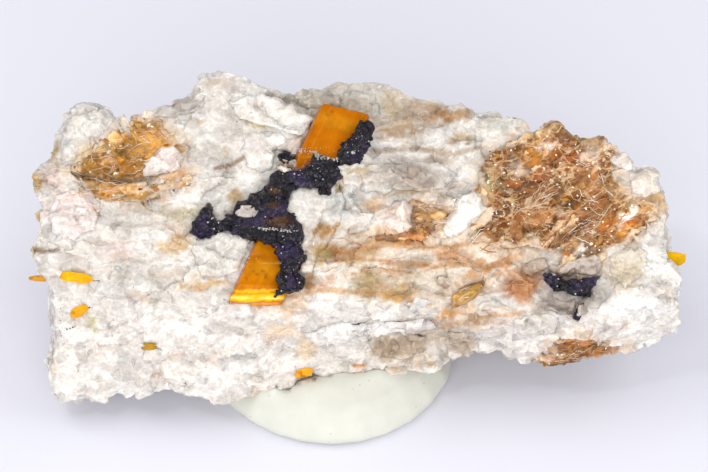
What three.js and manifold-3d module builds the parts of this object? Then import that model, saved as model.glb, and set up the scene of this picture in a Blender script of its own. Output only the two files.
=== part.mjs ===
// Yoderite with kyanite: a broken block of quartz with golden mica, a long orange kyanite blade on its
// show face, and a crust of dark purple yoderite over the blade. The block leans back on a pad of putty.
//
// Lengths are millimetres. X runs along the block, Y to the back and Z up, and Z is 0 at the putty's foot.
// The block is laid out on its show plane, which is tipped back from upright, so that it squarely faces
// someone looking down at LOOK_DOWN degrees. There u runs across, v runs up and w stands out of the plane.

import * as THREE from "three";
import { mergeVertices } from "three/addons/utils/BufferGeometryUtils.js";
import Module from "manifold-3d";

const wasm = await Module();
wasm.setup();

// Driving dimensions
const LOOK_DOWN = 45; // degrees, the angle that the show plane faces
const SHOW_PLANE_HEIGHT = 14.2; // of the point u = v = w = 0 above the foot
const FACE_SLOPE = 0.45; // how fast the show face falls behind the show plane above the shoulder
const GAP = 0.25; // clearance between touching pieces
const POCKET_CLEARANCE = 0.45; // under a piece set in a pocket
const ABOVE = 12; // how far a pocket's cutter reaches out of the block
const REAR_BULGE = 1.6; // how far the rear face leans out below its top edge
const END_TAPER = 0.1; // how fast the two ends close in towards the rear

// Steps of the block's skin: along it, then up the front, over the show face, down the rear and under it
const STATIONS = 42;
const LOOP_STEPS = { front: 6, face: 16, rear: 7, base: 7 };
const CAP_RINGS = 3;

// Colours and finishes
const FINISH = {
  quartz: { color: 0xe9e4de, roughness: 0.3, metalness: 0 },
  kyanite: { color: 0xe08a12, roughness: 0.25, metalness: 0 },
  yoderite: { color: 0x1e1830, roughness: 0.25, metalness: 0 },
  mica: { color: 0xa9713a, roughness: 0.35, metalness: 0 },
  putty: { color: 0xe9eade, roughness: 0.8, metalness: 0 },
};

// The block's outline on the show plane: [u, v] along the top and the bottom, and [v, u] at the ends
const TOP_EDGE = [
  [-21.8, 8.8], [-21, 9.4], [-19.6, 9.8], [-18.3, 9.6], [-17.6, 8.9], [-16.3, 9.4], [-14.2, 9.8],
  [-12.2, 10.3], [-11.8, 11.1], [-10.8, 12.2], [-10.1, 12.6], [-9.1, 12], [-8.3, 12.1], [-7.6, 11.8],
  [-7, 11.1], [-6.2, 11.2], [-4.9, 10.5], [-3.3, 11.1], [-0.6, 11.6], [2.5, 11.8], [3.4, 11.2],
  [4.7, 10.6], [5.8, 10.6], [7.5, 9.6], [11.8, 9.3], [12.8, 8], [13.8, 8], [15, 8.5], [16, 7.7],
  [17.6, 7.7], [18.8, 7.2], [20.2, 6.3], [20.8, 4.9], [22.1, 5],
];
const BOTTOM_EDGE = [
  [-22.8, -12.1], [-22, -12.6], [-20.4, -12.4], [-17.2, -11.9], [-16.4, -12.3], [-14.8, -12.1],
  [-14.1, -11.7], [-12.9, -11.9], [-11.3, -12.4], [-9, -12.2], [-6.5, -11.7], [-3.7, -11.1],
  [-0.6, -10.5], [2.8, -10.2], [6.3, -9.8], [8.4, -9.2], [13.2, -9.2], [14.6, -9.5], [17.9, -9],
  [20.6, -8.3], [21.8, -7.7], [22.6, -7.7],
];
const LEFT_END = [
  [-12.1, -22.8], [-10.5, -22.3], [-7.7, -21.9], [-5.1, -21.8], [-3.7, -22.2], [-2.5, -23.2],
  [-0.3, -23.1], [2.4, -23.3], [3.6, -23.8], [4.7, -23.7], [5.2, -23.2], [5.8, -22.7], [6.6, -21.8],
  [8.8, -21.8],
];
const RIGHT_END = [
  [-7.7, 22.6], [-7.3, 23], [-6.5, 24], [-5, 23.7], [-2.9, 23.5], [-2.2, 22.9], [-0.9, 22.7],
  [0.8, 22.9], [2.6, 22.8], [4.2, 22.5], [5, 22.1],
];
// The shoulder, where the show face turns down into the front face, as [u, v]
const SHOULDER = [[-23.2, -2.6], [-14.8, -3.9], [-7.4, -5.1], [0, -4.7], [7, -5], [14.3, -6.1], [21.5, -4]];
// Heights above the foot of the front's bottom edge and the rear's, as [u, height]
const FRONT_FOOT = [[-23, 1.9], [-9, 2.6], [0, 3.1], [9, 3.9], [23, 5.2]];
const REAR_FOOT = [[-23, 5], [-12, 3.4], [0, 3], [12, 3.6], [23, 6]];

// Blocks, ledges and hollows of the show side: middle, half size, turn in degrees, and height
const RELIEF = [
  { at: [-19.3, 7.6], half: [2.2, 2.2], turn: 0, lift: 1.5 }, // clear knob at the upper left
  { at: [-21.8, 3.9], half: [1.6, 1.1], turn: 20, lift: 0.8 }, // small rounded grain on the left end
  { at: [-9.6, 11.4], half: [2.5, 1.5], turn: -8, lift: 0.9 }, // peak of the top edge
  { at: [-8.6, 6.6], half: [5, 3.4], turn: -22, lift: 0.6 }, // broad white block left of the blade
  { at: [1, 11], half: [6.4, 2.6], turn: -4, lift: -1.7 }, // grey block set back behind the blade
  { at: [-11, -2], half: [5.5, 1.6], turn: 10, lift: 0.5 }, // long ledge left of the blade's foot
  { at: [-18.5, -0.2], half: [3.6, 1.4], turn: 0, lift: 0.6 }, // ledge at the left end
  { at: [4, 4.2], half: [6.5, 1.2], turn: -6, lift: 0.5 }, // long grey ledge right of the blade
  { at: [3, 1.2], half: [1.2, 1.2], turn: 4, lift: 0.7 }, // small pink plate
  { at: [8.4, 1.4], half: [2.6, 1.1], turn: 42, lift: 0.8 }, // white plate between the two browns
  { at: [15.8, -3.8], half: [2.8, 1.6], turn: 8, lift: -0.9 }, // smoky hollow at the lower right
  { at: [20.9, 3.4], half: [1.9, 2], turn: 0, lift: 0.7 }, // pale block at the right end
  { at: [20.5, -5], half: [2.4, 1.8], turn: 0, lift: 0.6 }, // white corner at the lower right
  { at: [3.6, -7.7], half: [3.4, 1.2], turn: 4, lift: -0.8 }, // smoky hollow over the putty
  { at: [-14.5, -9.8], half: [2.3, 1.6], turn: 0, lift: 0.6 }, // lump over the bottom edge
  { at: [-20, -10], half: [2, 1.8], turn: 0, lift: 0.5 }, // lower left corner
];
const RELIEF_EDGE = 0.35; // share of a block's half size over which its edge rises

// Flat broken facets over the whole block: cell size, height and a number that shuffles them
const COARSE_FACETS = { cell: 4.6, height: 0.85, salt: 3 };
const MEDIUM_FACETS = { cell: 2.1, height: 0.35, salt: 8 };
// Share of a facet's height that goes across the show plane, where it would change the outline
const SHIFT_IN_SHOW_SIDE = 0.2;
const SHIFT_ELSEWHERE = 0.7;

// The kyanite blade, down the show plane from its upper end to its lower
const BLADE = {
  top: [-0.75, 9.1],
  foot: [-7.2, -4.85],
  topWidth: 3.7,
  footWidth: 3.6,
  thickness: 2.2,
  stand: 0.85, // of its upper face above the show face
  topSlant: 0.22, // how far each end leans from square, per unit of width
  footSlant: 0.46,
  footBevel: 1.05,
};

// Crystals and mica set in the block. Each outline is [u, v] on the show plane, anticlockwise or clockwise.
// rise is how far the piece stands out of the show face, depth is how far it goes in.
const YODERITE_CRUST = {
  rise: 0.75,
  riseOverBlade: 0.8,
  depth: 1.6,
  facets: { cell: 0.9, height: 0.25, salt: 21 },
  outline: [
    [1.4, 8.1], [1.1, 8.5], [0.6, 8.4], [-0.9, 6.2], [-1.5, 5.6], [-2.9, 6], [-4.1, 5], [-5.1, 4.9],
    [-6.1, 4.2], [-6.3, 3.6], [-7.6, 3.1], [-7.8, 2.7], [-8.7, 2.2], [-8.8, 1.7], [-9.4, 1.6],
    [-9.4, 1.1], [-10.2, 0.9], [-10.3, 1.5], [-10.8, 2.3], [-11.5, 1.2], [-12, 0.2], [-11.3, -0.3],
    [-10.2, 0.1], [-9.4, 0.3], [-8.5, 0.2], [-7.5, -0.2], [-7, 0.1], [-6.3, -0.3], [-5.6, -0.7],
    [-5.6, -1.3], [-5.1, -2.1], [-5.5, -3.2], [-5.2, -3.8], [-5.8, -4.3], [-4.7, -4], [-3.9, -3.8],
    [-3.8, -3], [-4.1, -2.2], [-3.6, -2.1], [-3.5, -1.4], [-3.8, -0.9], [-3.8, 0.6], [-4.3, 1.4],
    [-5, 1.8], [-4.8, 2.7], [-4.4, 3.3], [-3.4, 3.7], [-2.4, 3.7], [-2.3, 3.2], [-1.7, 3.2], [-1.6, 3.7],
    [-0.3, 4.7], [0.3, 5.4], [1, 6.4], [0.8, 6.8], [1.2, 7.3],
  ],
};
const PATCHES = [
  {
    name: "mica_left",
    finish: "mica",
    rise: -0.1,
    depth: 1.5,
    facets: { cell: 2.2, height: 0.3, salt: 31 },
    outline: [
      [-20.9, 5.2], [-19.7, 6.1], [-18.5, 7.1], [-17, 7.9], [-16.3, 9], [-14.6, 8.7], [-13.2, 7.6],
      [-12.2, 6.6], [-13, 5.7], [-14.6, 4.7], [-15.7, 3.4], [-13.6, 4], [-12, 4.5], [-12.4, 3.5],
      [-14.8, 2.7], [-15.6, 2.3], [-18.8, 2.5], [-20.1, 3.9],
    ],
  },
  {
    name: "mica_right",
    finish: "mica",
    rise: 0.2,
    depth: 1.8,
    facets: { cell: 1.7, height: 0.42, salt: 43 },
    outline: [
      [9.1, 2.8], [9.2, 4.6], [10.1, 6], [11.4, 6.8], [12.9, 7.6], [14.9, 8.1], [16.1, 7.4], [18.5, 7.1],
      [19.7, 6.2], [19.1, 5.2], [19.8, 3.9], [20.4, 2.8], [22.2, 2.5], [22.3, 1.3], [20.6, 0],
      [18.7, -1], [17.6, -2.2], [16.3, -2.7], [15, -2.5], [15.5, -0.9], [12, -0.8], [8.6, -0.5],
      [8.3, 0.2], [9.8, 1.7],
    ],
  },
  {
    name: "mica_middle",
    finish: "mica",
    rise: 0.1,
    depth: 1,
    facets: { cell: 1.4, height: 0.2, salt: 51 },
    outline: [[4.2, 2.5], [5.9, 2.2], [6.8, 1.6], [6, 0.6], [5.2, -0.3], [1.3, -0.1], [1.2, 0], [4, 0.3]],
  },
  {
    name: "mica_flake",
    finish: "mica",
    rise: 0.25,
    depth: 0.8,
    facets: { cell: 1.6, height: 0.1, salt: 57 },
    outline: [[7, -4.4], [7.1, -5.1], [8.1, -4.9], [9.2, -4.1], [9.4, -3.4], [8.5, -3.5]],
  },
  {
    name: "mica_under_edge",
    finish: "mica",
    rise: 0.35,
    depth: 1.3,
    facets: { cell: 1.5, height: 0.3, salt: 63 },
    outline: [
      [13.2, -9.2], [14.4, -8.4], [15.2, -7.5], [16.1, -7.2], [17.3, -7.4], [18.2, -8], [20, -8],
      [19.4, -8.4], [17.9, -8.8], [15.6, -9.3], [14.5, -9.6],
    ],
  },
  {
    name: "yoderite_right",
    finish: "yoderite",
    rise: 0.5,
    depth: 1.8,
    facets: { cell: 1, height: 0.2, salt: 71 },
    outline: [
      [13.9, -2.8], [14.6, -2.9], [15.6, -3.4], [16.7, -3.3], [17.8, -3], [17.4, -3.9], [17.1, -4.4],
      [15.8, -4.1], [14.7, -3.9], [14, -3.3],
    ],
  },
  {
    name: "yoderite_right_chip",
    finish: "yoderite",
    rise: 0.5,
    depth: 1.6,
    facets: { cell: 1, height: 0.15, salt: 73 },
    outline: [[16.8, -4.8], [16.2, -5.3], [15.8, -5.8], [16.3, -5.9], [16.6, -5.4]],
  },
  {
    name: "yoderite_grain",
    finish: "yoderite",
    rise: 0.6,
    depth: 0.8,
    facets: { cell: 1, height: 0.1, salt: 77 },
    outline: [[-5.5, 5.8], [-5.1, 6.3], [-4.6, 6], [-4.6, 5.5], [-5, 5.2], [-5.5, 5.4]],
  },
];

// Small kyanite crystals: the middle of each on the show plane, its length, width, turn and rise
const SMALL_BLADES = [
  { name: "kyanite_left_upper", at: [-20.3, -3], length: 2.7, width: 0.8, turn: -8, rise: 0.4, depth: 0.9 },
  { name: "kyanite_left_lower", at: [-20.1, -5.5], length: 1.6, width: 0.7, turn: 31, rise: 0.5, depth: 0.9 },
  { name: "kyanite_front", at: [-15, -8.1], length: 1.15, width: 0.5, turn: 0, rise: 0.3, depth: 0.7 },
  { name: "kyanite_bottom", at: [-3.7, -10.1], length: 1.5, width: 0.65, turn: 14, rise: 0.3, depth: 0.8 },
];
// Two crystals that stick out of the block's ends, pointing along X
const END_BLADES = [
  { name: "kyanite_left_end", at: [-23, -3.1], drop: 1.6, length: 1.6, width: 0.55, way: -1 },
  { name: "kyanite_right_end", at: [23.4, -1.7], drop: 1.8, length: 2, width: 1.2, way: 1 },
];

// The putty: an oval pad pressed flat by the block. Its profile is [share of the radius, height].
const PUTTY = {
  at: [-2, 2.4], // X and Y of its middle, before the part is centred
  halfSize: [9.6, 10.4],
  turn: 14, // degrees about Z
  profile: [[0, 0], [0.97, 0], [1, 0.4], [1, 0.9], [0.96, 1.7], [0.86, 2.6], [0.7, 3.4], [0.4, 4.2], [0, 4.5]],
  segments: 28,
};

// Shared helpers

const radians = THREE.MathUtils.degToRad;
const lerp = THREE.MathUtils.lerp;

// The value at x of a line through the points [x, value]
function follow(points, x) {
  if (x <= points[0][0]) return points[0][1];
  for (let i = 1; i < points.length; i++) {
    const [x0, y0] = points[i - 1];
    const [x1, y1] = points[i];
    if (x <= x1) return lerp(y0, y1, (x - x0) / (x1 - x0));
  }
  return points[points.length - 1][1];
}

// From the show plane's u, v, w to the part's X, Y, Z
const SHOW_TO_PART = new THREE.Matrix4()
  .makeTranslation(0, 0, SHOW_PLANE_HEIGHT)
  .multiply(new THREE.Matrix4().makeRotationX(radians(90 - LOOK_DOWN)));

function toSolid(geometry) {
  const bare = geometry.clone();
  bare.deleteAttribute("normal");
  bare.deleteAttribute("uv");
  const merged = mergeVertices(bare, 1e-4);
  return new wasm.Manifold(
    new wasm.Mesh({
      numProp: 3,
      vertProperties: merged.attributes.position.array,
      triVerts: new Uint32Array(merged.index.array),
    }),
  );
}

function toMesh(name, solid, finish) {
  const mesh = solid.getMesh();
  const geometry = new THREE.BufferGeometry();
  geometry.setAttribute("position", new THREE.BufferAttribute(mesh.vertProperties, 3));
  geometry.setIndex(new THREE.BufferAttribute(mesh.triVerts, 1));
  geometry.computeVertexNormals();
  const made = new THREE.Mesh(geometry, new THREE.MeshStandardMaterial(FINISH[finish]));
  made.name = name;
  return made;
}

function largestBody(solid) {
  return solid.decompose().reduce((a, b) => (a.volume() > b.volume() ? a : b));
}

function hash(x, y, z, salt) {
  const t = Math.sin(x * 127.1 + y * 311.7 + z * 74.7 + salt * 53.3) * 43758.5453;
  return t - Math.floor(t);
}

// Flat tilted facets between jittered cell centres, as broken crystal has, up to about height either way
function facetHeight(p, { cell, height, salt }) {
  const x = Math.floor(p.x / cell);
  const y = Math.floor(p.y / cell);
  const z = Math.floor(p.z / cell);
  let nearest = Infinity;
  let facet = 0;
  for (let i = x - 1; i <= x + 1; i++)
    for (let j = y - 1; j <= y + 1; j++)
      for (let k = z - 1; k <= z + 1; k++) {
        const dx = p.x / cell - i - hash(i, j, k, salt);
        const dy = p.y / cell - j - hash(j, k, i, salt + 1);
        const dz = p.z / cell - k - hash(k, i, j, salt + 2);
        const away = dx * dx + dy * dy + dz * dz;
        if (away >= nearest) continue;
        nearest = away;
        facet = 1.2 * (hash(i, j, k, salt + 6) - 0.5);
        facet += (hash(i, k, j, salt + 3) - 0.5) * dx;
        facet += (hash(j, i, k, salt + 4) - 0.5) * dy;
        facet += (hash(k, j, i, salt + 5) - 0.5) * dz;
      }
  return height * facet;
}

// The block of quartz

// Height w of the show side at u, v, before its blocks and hollows
function plainSide(u, v) {
  const shoulder = follow(SHOULDER, u);
  if (v > shoulder) return -FACE_SLOPE * (v - shoulder);
  return (footOnShowPlane(u) * (shoulder - v)) / (shoulder - follow(BOTTOM_EDGE, u));
}

// Height w of the show side at u, v, before the broken facets
function showSide(u, v) {
  let w = plainSide(u, v);
  for (const { at, half, turn, lift } of RELIEF) {
    const a = radians(turn);
    const du = u - at[0];
    const dv = v - at[1];
    const along = (du * Math.cos(a) + dv * Math.sin(a)) / half[0];
    const over = (dv * Math.cos(a) - du * Math.sin(a)) / half[1];
    const reach = Math.max(Math.abs(along), Math.abs(over));
    w += lift * (1 - THREE.MathUtils.smoothstep(reach, 1 - RELIEF_EDGE, 1 + RELIEF_EDGE));
  }
  return w;
}

// w of the front's bottom edge, worked out from its height above the foot
function footOnShowPlane(u) {
  const up = follow(FRONT_FOOT, u) - SHOW_PLANE_HEIGHT;
  const a = radians(LOOK_DOWN);
  return (up - follow(BOTTOM_EDGE, u) * Math.cos(a)) / Math.sin(a);
}

// One point of the skin on the show plane's axes: u is across, step counts round the loop
function skinPoint(u, step) {
  const a = radians(LOOK_DOWN);
  const { front, face, rear, base } = LOOP_STEPS;
  const shoulder = follow(SHOULDER, u);
  const top = follow(TOP_EDGE, u);
  const bottom = follow(BOTTOM_EDGE, u);
  if (step < front) {
    const v = lerp(bottom, shoulder, step / front);
    return { v, w: showSide(u, v) };
  }
  if (step <= front + face) {
    const v = lerp(shoulder, top, (step - front) / face);
    return { v, w: showSide(u, v) };
  }
  // The rear and the base are laid out upright: y to the back and z up
  const crest = showSide(u, top);
  const start = { y: top * Math.sin(a) - crest * Math.cos(a), z: top * Math.cos(a) + crest * Math.sin(a) };
  const corner = { y: start.y + REAR_BULGE * 0.4, z: follow(REAR_FOOT, u) - SHOW_PLANE_HEIGHT };
  const w = footOnShowPlane(u);
  const end = { y: bottom * Math.sin(a) - w * Math.cos(a), z: bottom * Math.cos(a) + w * Math.sin(a) };
  let y;
  let z;
  if (step <= front + face + rear) {
    const t = (step - front - face) / rear;
    y = lerp(start.y, corner.y, t) + REAR_BULGE * Math.sin(Math.PI * t);
    z = lerp(start.z, corner.z, t);
  } else {
    const t = (step - front - face - rear) / base;
    y = lerp(corner.y, end.y, t);
    z = lerp(corner.z, end.z, t);
  }
  return { v: y * Math.sin(a) + z * Math.cos(a), w: z * Math.sin(a) - y * Math.cos(a) };
}

// The skin point at a share of the way along the block. The ends' outlines decide how far along that is.
function stationPoint(share, step) {
  let u = lerp(LEFT_END[0][1], RIGHT_END[0][1], share);
  let at = skinPoint(u, step);
  for (let pass = 0; pass < 5; pass++) {
    const behind = Math.max(0, -at.w - 6) * END_TAPER;
    u = lerp(follow(LEFT_END, at.v) + behind, follow(RIGHT_END, at.v) - behind, share);
    at = skinPoint(u, step);
  }
  return new THREE.Vector3(u, at.v, at.w);
}

function blockGeometry() {
  const loop = LOOP_STEPS.front + LOOP_STEPS.face + LOOP_STEPS.rear + LOOP_STEPS.base;
  const points = [];
  const faces = [];
  const joinRings = (a, b) => {
    for (let j = 0; j < loop; j++) {
      const k = (j + 1) % loop;
      faces.push(a + j, b + j, a + k, a + k, b + j, b + k);
    }
  };
  const cap = (share, edge, flip) => {
    const ring = [];
    for (let j = 0; j < loop; j++) ring.push(stationPoint(share, j));
    const middle = ring.reduce((sum, p) => sum.add(p), new THREE.Vector3()).divideScalar(loop);
    middle.x = share ? Math.max(middle.x, 23) : Math.min(middle.x, -22.7);
    let outer = edge;
    for (let r = 1; r <= CAP_RINGS; r++) {
      const inner = points.length;
      for (const p of ring) points.push(p.clone().lerp(middle, r / (CAP_RINGS + 1)));
      flip ? joinRings(inner, outer) : joinRings(outer, inner);
      outer = inner;
    }
    points.push(middle);
    for (let j = 0; j < loop; j++) {
      const k = (j + 1) % loop;
      faces.push(...(flip ? [outer + j, outer + k] : [outer + k, outer + j]), points.length - 1);
    }
  };
  for (let i = 0; i < STATIONS; i++)
    for (let j = 0; j < loop; j++) points.push(stationPoint(i / (STATIONS - 1), j));
  for (let i = 0; i + 1 < STATIONS; i++) joinRings(i * loop, (i + 1) * loop);
  cap(0, 0, true);
  cap(1, (STATIONS - 1) * loop, false);
  const geometry = new THREE.BufferGeometry().setFromPoints(points);
  geometry.setIndex(faces);
  geometry.computeVertexNormals();
  return geometry;
}

// The block with its broken facets, grown outwards by a clearance
function block(clearance) {
  const geometry = blockGeometry();
  const position = geometry.attributes.position;
  const normal = geometry.attributes.normal;
  const p = new THREE.Vector3();
  const n = new THREE.Vector3();
  for (let i = 0; i < position.count; i++) {
    p.fromBufferAttribute(position, i);
    n.fromBufferAttribute(normal, i);
    const broken = facetHeight(p, COARSE_FACETS) + facetHeight(p, MEDIUM_FACETS);
    const shift = n.z > 0 ? SHIFT_IN_SHOW_SIDE : SHIFT_ELSEWHERE;
    p.addScaledVector(n, clearance);
    p.add(new THREE.Vector3(n.x * shift, n.y * shift, n.z).multiplyScalar(broken));
    position.setXYZ(i, p.x, p.y, p.z);
  }
  return toSolid(geometry.applyMatrix4(SHOW_TO_PART));
}

// Pieces set in the show side

// An outline moved outwards by a distance
function grown(outline, distance) {
  const turnsLeft = THREE.ShapeUtils.area(outline.map(([u, v]) => new THREE.Vector2(u, v))) > 0 ? 1 : -1;
  return outline.map(([u, v], i) => {
    const [u0, v0] = outline[(i + outline.length - 1) % outline.length];
    const [u1, v1] = outline[(i + 1) % outline.length];
    const along = new THREE.Vector2(u - u0, v - v0).normalize();
    along.add(new THREE.Vector2(u1 - u, v1 - v).normalize()).normalize();
    return [u + along.y * turnsLeft * distance, v - along.x * turnsLeft * distance];
  });
}

// A straight-sided prism over an outline, standing out of the show plane
function prism(outline, from, to) {
  const shape = new THREE.Shape(outline.map(([u, v]) => new THREE.Vector2(u, v)));
  const geometry = new THREE.ExtrudeGeometry(shape, { depth: to - from, bevelEnabled: false, steps: 1 });
  return toSolid(geometry.translate(0, 0, from).applyMatrix4(SHOW_TO_PART));
}

// A slab between two surfaces over the box round an outline, as a grid
function slab(outline, topAt, bottomAt, pitch) {
  const box = new THREE.Box2().setFromPoints(outline.map(([u, v]) => new THREE.Vector2(u, v)));
  box.expandByScalar(pitch);
  const across = Math.ceil((box.max.x - box.min.x) / pitch);
  const up = Math.ceil((box.max.y - box.min.y) / pitch);
  const geometry = new THREE.BoxGeometry(1, 1, 1, across, up, 1);
  const position = geometry.attributes.position;
  for (let i = 0; i < position.count; i++) {
    const u = lerp(box.min.x, box.max.x, position.getX(i) + 0.5);
    const v = lerp(box.min.y, box.max.y, position.getY(i) + 0.5);
    position.setXYZ(i, u, v, position.getZ(i) > 0 ? topAt(u, v) : bottomAt(u, v));
  }
  return toSolid(geometry.applyMatrix4(SHOW_TO_PART));
}

// Pitch of the grids that carry a patch's relief, and of those that form the bottoms of pockets
const PATCH_PITCH = 1.2;
const POCKET_PITCH = 2.6;

function patch({ outline, rise, riseOverBlade, depth, facets }) {
  const top = (u, v) => {
    let w = showSide(u, v) + rise;
    if (riseOverBlade) w = Math.max(w, bladeFace(u, v) + riseOverBlade);
    return w + facetHeight(new THREE.Vector3(u, v, w), facets);
  };
  const bottom = (u, v) => plainSide(u, v) - depth;
  return slab(outline, top, bottom, PATCH_PITCH).intersect(prism(outline, -30, 30));
}

// What a patch takes out of the block, with the gap round it
function pocket({ outline, depth }) {
  const wide = grown(outline, GAP);
  const bottom = (u, v) => plainSide(u, v) - depth - POCKET_CLEARANCE;
  return slab(wide, () => ABOVE, bottom, POCKET_PITCH).intersect(prism(wide, -30, 30));
}

// A small blade's outline: a long box with its ends cut off at a slant
function bladeOutline({ at, length, width, turn }) {
  const slant = width * 0.3;
  const corners = [
    [-length / 2, -width * 0.3], [-length / 2 + slant, -width / 2], [length / 2 - slant, -width / 2],
    [length / 2, -width * 0.1], [length / 2 - slant * 0.5, width / 2], [-length / 2 + slant, width / 2],
  ];
  const a = radians(turn);
  return corners.map(([x, y]) => [
    at[0] + x * Math.cos(a) - y * Math.sin(a),
    at[1] + x * Math.sin(a) + y * Math.cos(a),
  ]);
}

// Where the long blade lies: the middle of its body, and its ways along, across and out of the block
function bladeFrame() {
  const { top, foot, thickness, stand } = BLADE;
  const middle = [(top[0] + foot[0]) / 2, (top[1] + foot[1]) / 2];
  const drop = top[1] - foot[1];
  const lie = new THREE.Vector3(foot[0] - top[0], -drop, FACE_SLOPE * drop).normalize();
  const across = new THREE.Vector3(-lie.y, lie.x, 0).normalize();
  const out = new THREE.Vector3().crossVectors(lie, across);
  const face = -FACE_SLOPE * (middle[1] - follow(SHOULDER, middle[0])) + stand;
  return { lie, across, out, origin: new THREE.Vector3(...middle, face - thickness / 2) };
}

// Height w of the plane of the blade's upper face, which falls away past the blade's edges
function bladeFace(u, v) {
  const { across, out, origin } = bladeFrame();
  const away = new THREE.Vector3(u - origin.x, v - origin.y, 0);
  const beyond = Math.max(0, Math.abs(away.dot(across)) - BLADE.topWidth / 2);
  return origin.z + (BLADE.thickness / 2 - away.dot(out)) / out.z - 0.8 * beyond;
}

// The long blade: a flat prism with a bevelled foot, along the slope of the show face, grown by a clearance
function blade(clearance) {
  const { top, foot, topWidth, footWidth, thickness, topSlant, footSlant, footBevel } = BLADE;
  const plan = Math.hypot(foot[0] - top[0], foot[1] - top[1]);
  const length = plan * Math.hypot(1, FACE_SLOPE * ((top[1] - foot[1]) / plan)) + 2 * clearance;
  const reachBevel = footBevel / length;
  const side = thickness / 2 + clearance;
  // Rows down the blade: share of its length, half width, and the height of its upper face against its body
  const rows = [
    { share: 0, half: topWidth / 2, up: 1 },
    { share: 0.22, half: topWidth * 0.51, up: 1.06 },
    { share: 0.5, half: topWidth * 0.48, up: 0.96 },
    { share: 0.8, half: footWidth * 0.53, up: 1 },
    { share: 1 - reachBevel, half: footWidth * 0.51, up: 0.95 },
    { share: 1, half: footWidth / 2, up: 0.2 },
  ];
  const points = [];
  for (const { share, half, up } of rows) {
    const h = half + clearance;
    // A six-sided section: flat faces above and below, and a ridge along each edge
    const section = [[h * 0.93, side * up], [h, side * up * 0.4], [h * 0.94, -side]];
    section.push([-h * 0.94, -side], [-h, side * up * 0.3], [-h * 0.9, side * up]);
    const x = (share - 0.5) * length;
    const slant = lerp(topSlant, footSlant, share);
    for (const [y, z] of section) points.push(new THREE.Vector3(x - slant * y, y, z));
  }
  const geometry = new THREE.BufferGeometry().setFromPoints(points);
  const faces = [];
  const last = (rows.length - 1) * 6;
  for (let r = 0; r < last; r += 6)
    for (let j = 0; j < 6; j++) {
      const k = (j + 1) % 6;
      faces.push(r + j, r + 6 + j, r + k, r + k, r + 6 + j, r + 6 + k);
    }
  for (let j = 1; j < 5; j++) {
    faces.push(0, j, j + 1);
    faces.push(last, last + j + 1, last + j);
  }
  geometry.setIndex(faces);
  const { lie, across, out, origin } = bladeFrame();
  const frame = new THREE.Matrix4().makeBasis(lie, across, out).setPosition(origin);
  return toSolid(geometry.applyMatrix4(frame).applyMatrix4(SHOW_TO_PART));
}

// A blade that sticks out of an end, grown by a clearance
function endBlade({ at, drop, length, width, way }, clearance) {
  const radius = width / 2 + clearance;
  const geometry = new THREE.CylinderGeometry(radius * 0.9, radius, length + 2 * clearance, 6, 1);
  geometry.rotateZ(-way * Math.PI / 2);
  geometry.translate(at[0], at[1], showSide(at[0], at[1]) - drop);
  return toSolid(geometry.applyMatrix4(SHOW_TO_PART));
}

// The putty pad
function puttyPad() {
  const { at, halfSize, turn, profile, segments } = PUTTY;
  const curve = profile.map(([share, height]) => new THREE.Vector2(share, height));
  const geometry = new THREE.LatheGeometry(curve, segments);
  geometry.rotateX(Math.PI / 2);
  geometry.scale(halfSize[0], halfSize[1], 1);
  geometry.rotateZ(radians(turn));
  geometry.translate(at[0], at[1], 0);
  return toSolid(geometry);
}

// Putting the specimen together

const specimen = new THREE.Group();
const roundBlade = blade(GAP);
let rock = block(0).subtract(roundBlade).subtract(pocket(YODERITE_CRUST));
specimen.add(toMesh("kyanite_blade", blade(0), "kyanite"));
const crust = patch(YODERITE_CRUST).subtract(roundBlade);
specimen.add(toMesh("yoderite_crust", largestBody(crust), "yoderite"));

for (const piece of PATCHES) {
  rock = rock.subtract(pocket(piece));
  specimen.add(toMesh(piece.name, largestBody(patch(piece)), piece.finish));
}
for (const small of SMALL_BLADES) {
  const piece = { ...small, outline: bladeOutline(small), facets: { cell: 1, height: 0, salt: 1 } };
  rock = rock.subtract(pocket(piece));
  specimen.add(toMesh(piece.name, patch(piece), "kyanite"));
}
for (const end of END_BLADES) {
  rock = rock.subtract(endBlade(end, GAP));
  specimen.add(toMesh(end.name, endBlade(end, 0), "kyanite"));
}
specimen.add(toMesh("quartz_matrix", largestBody(rock), "quartz"));
specimen.add(toMesh("putty_pad", largestBody(puttyPad().subtract(block(GAP))), "putty"));

// The origin is under the middle of the part's box, on the putty's foot
const box = new THREE.Box3().setFromObject(specimen);
specimen.position.set(-(box.min.x + box.max.x) / 2, -(box.min.y + box.max.y) / 2, -box.min.z);

export default specimen;
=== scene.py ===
# Yoderite with kyanite: a broken block of quartz with golden mica, an orange kyanite blade and a crust of
# dark purple yoderite, leaning back on a pad of putty. Lengths in this file are metres, unless named _mm.
import itertools
import math

import bmesh
import bpy
import numpy as np
from mathutils import Matrix, Vector
from mathutils.bvhtree import BVHTree


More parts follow.
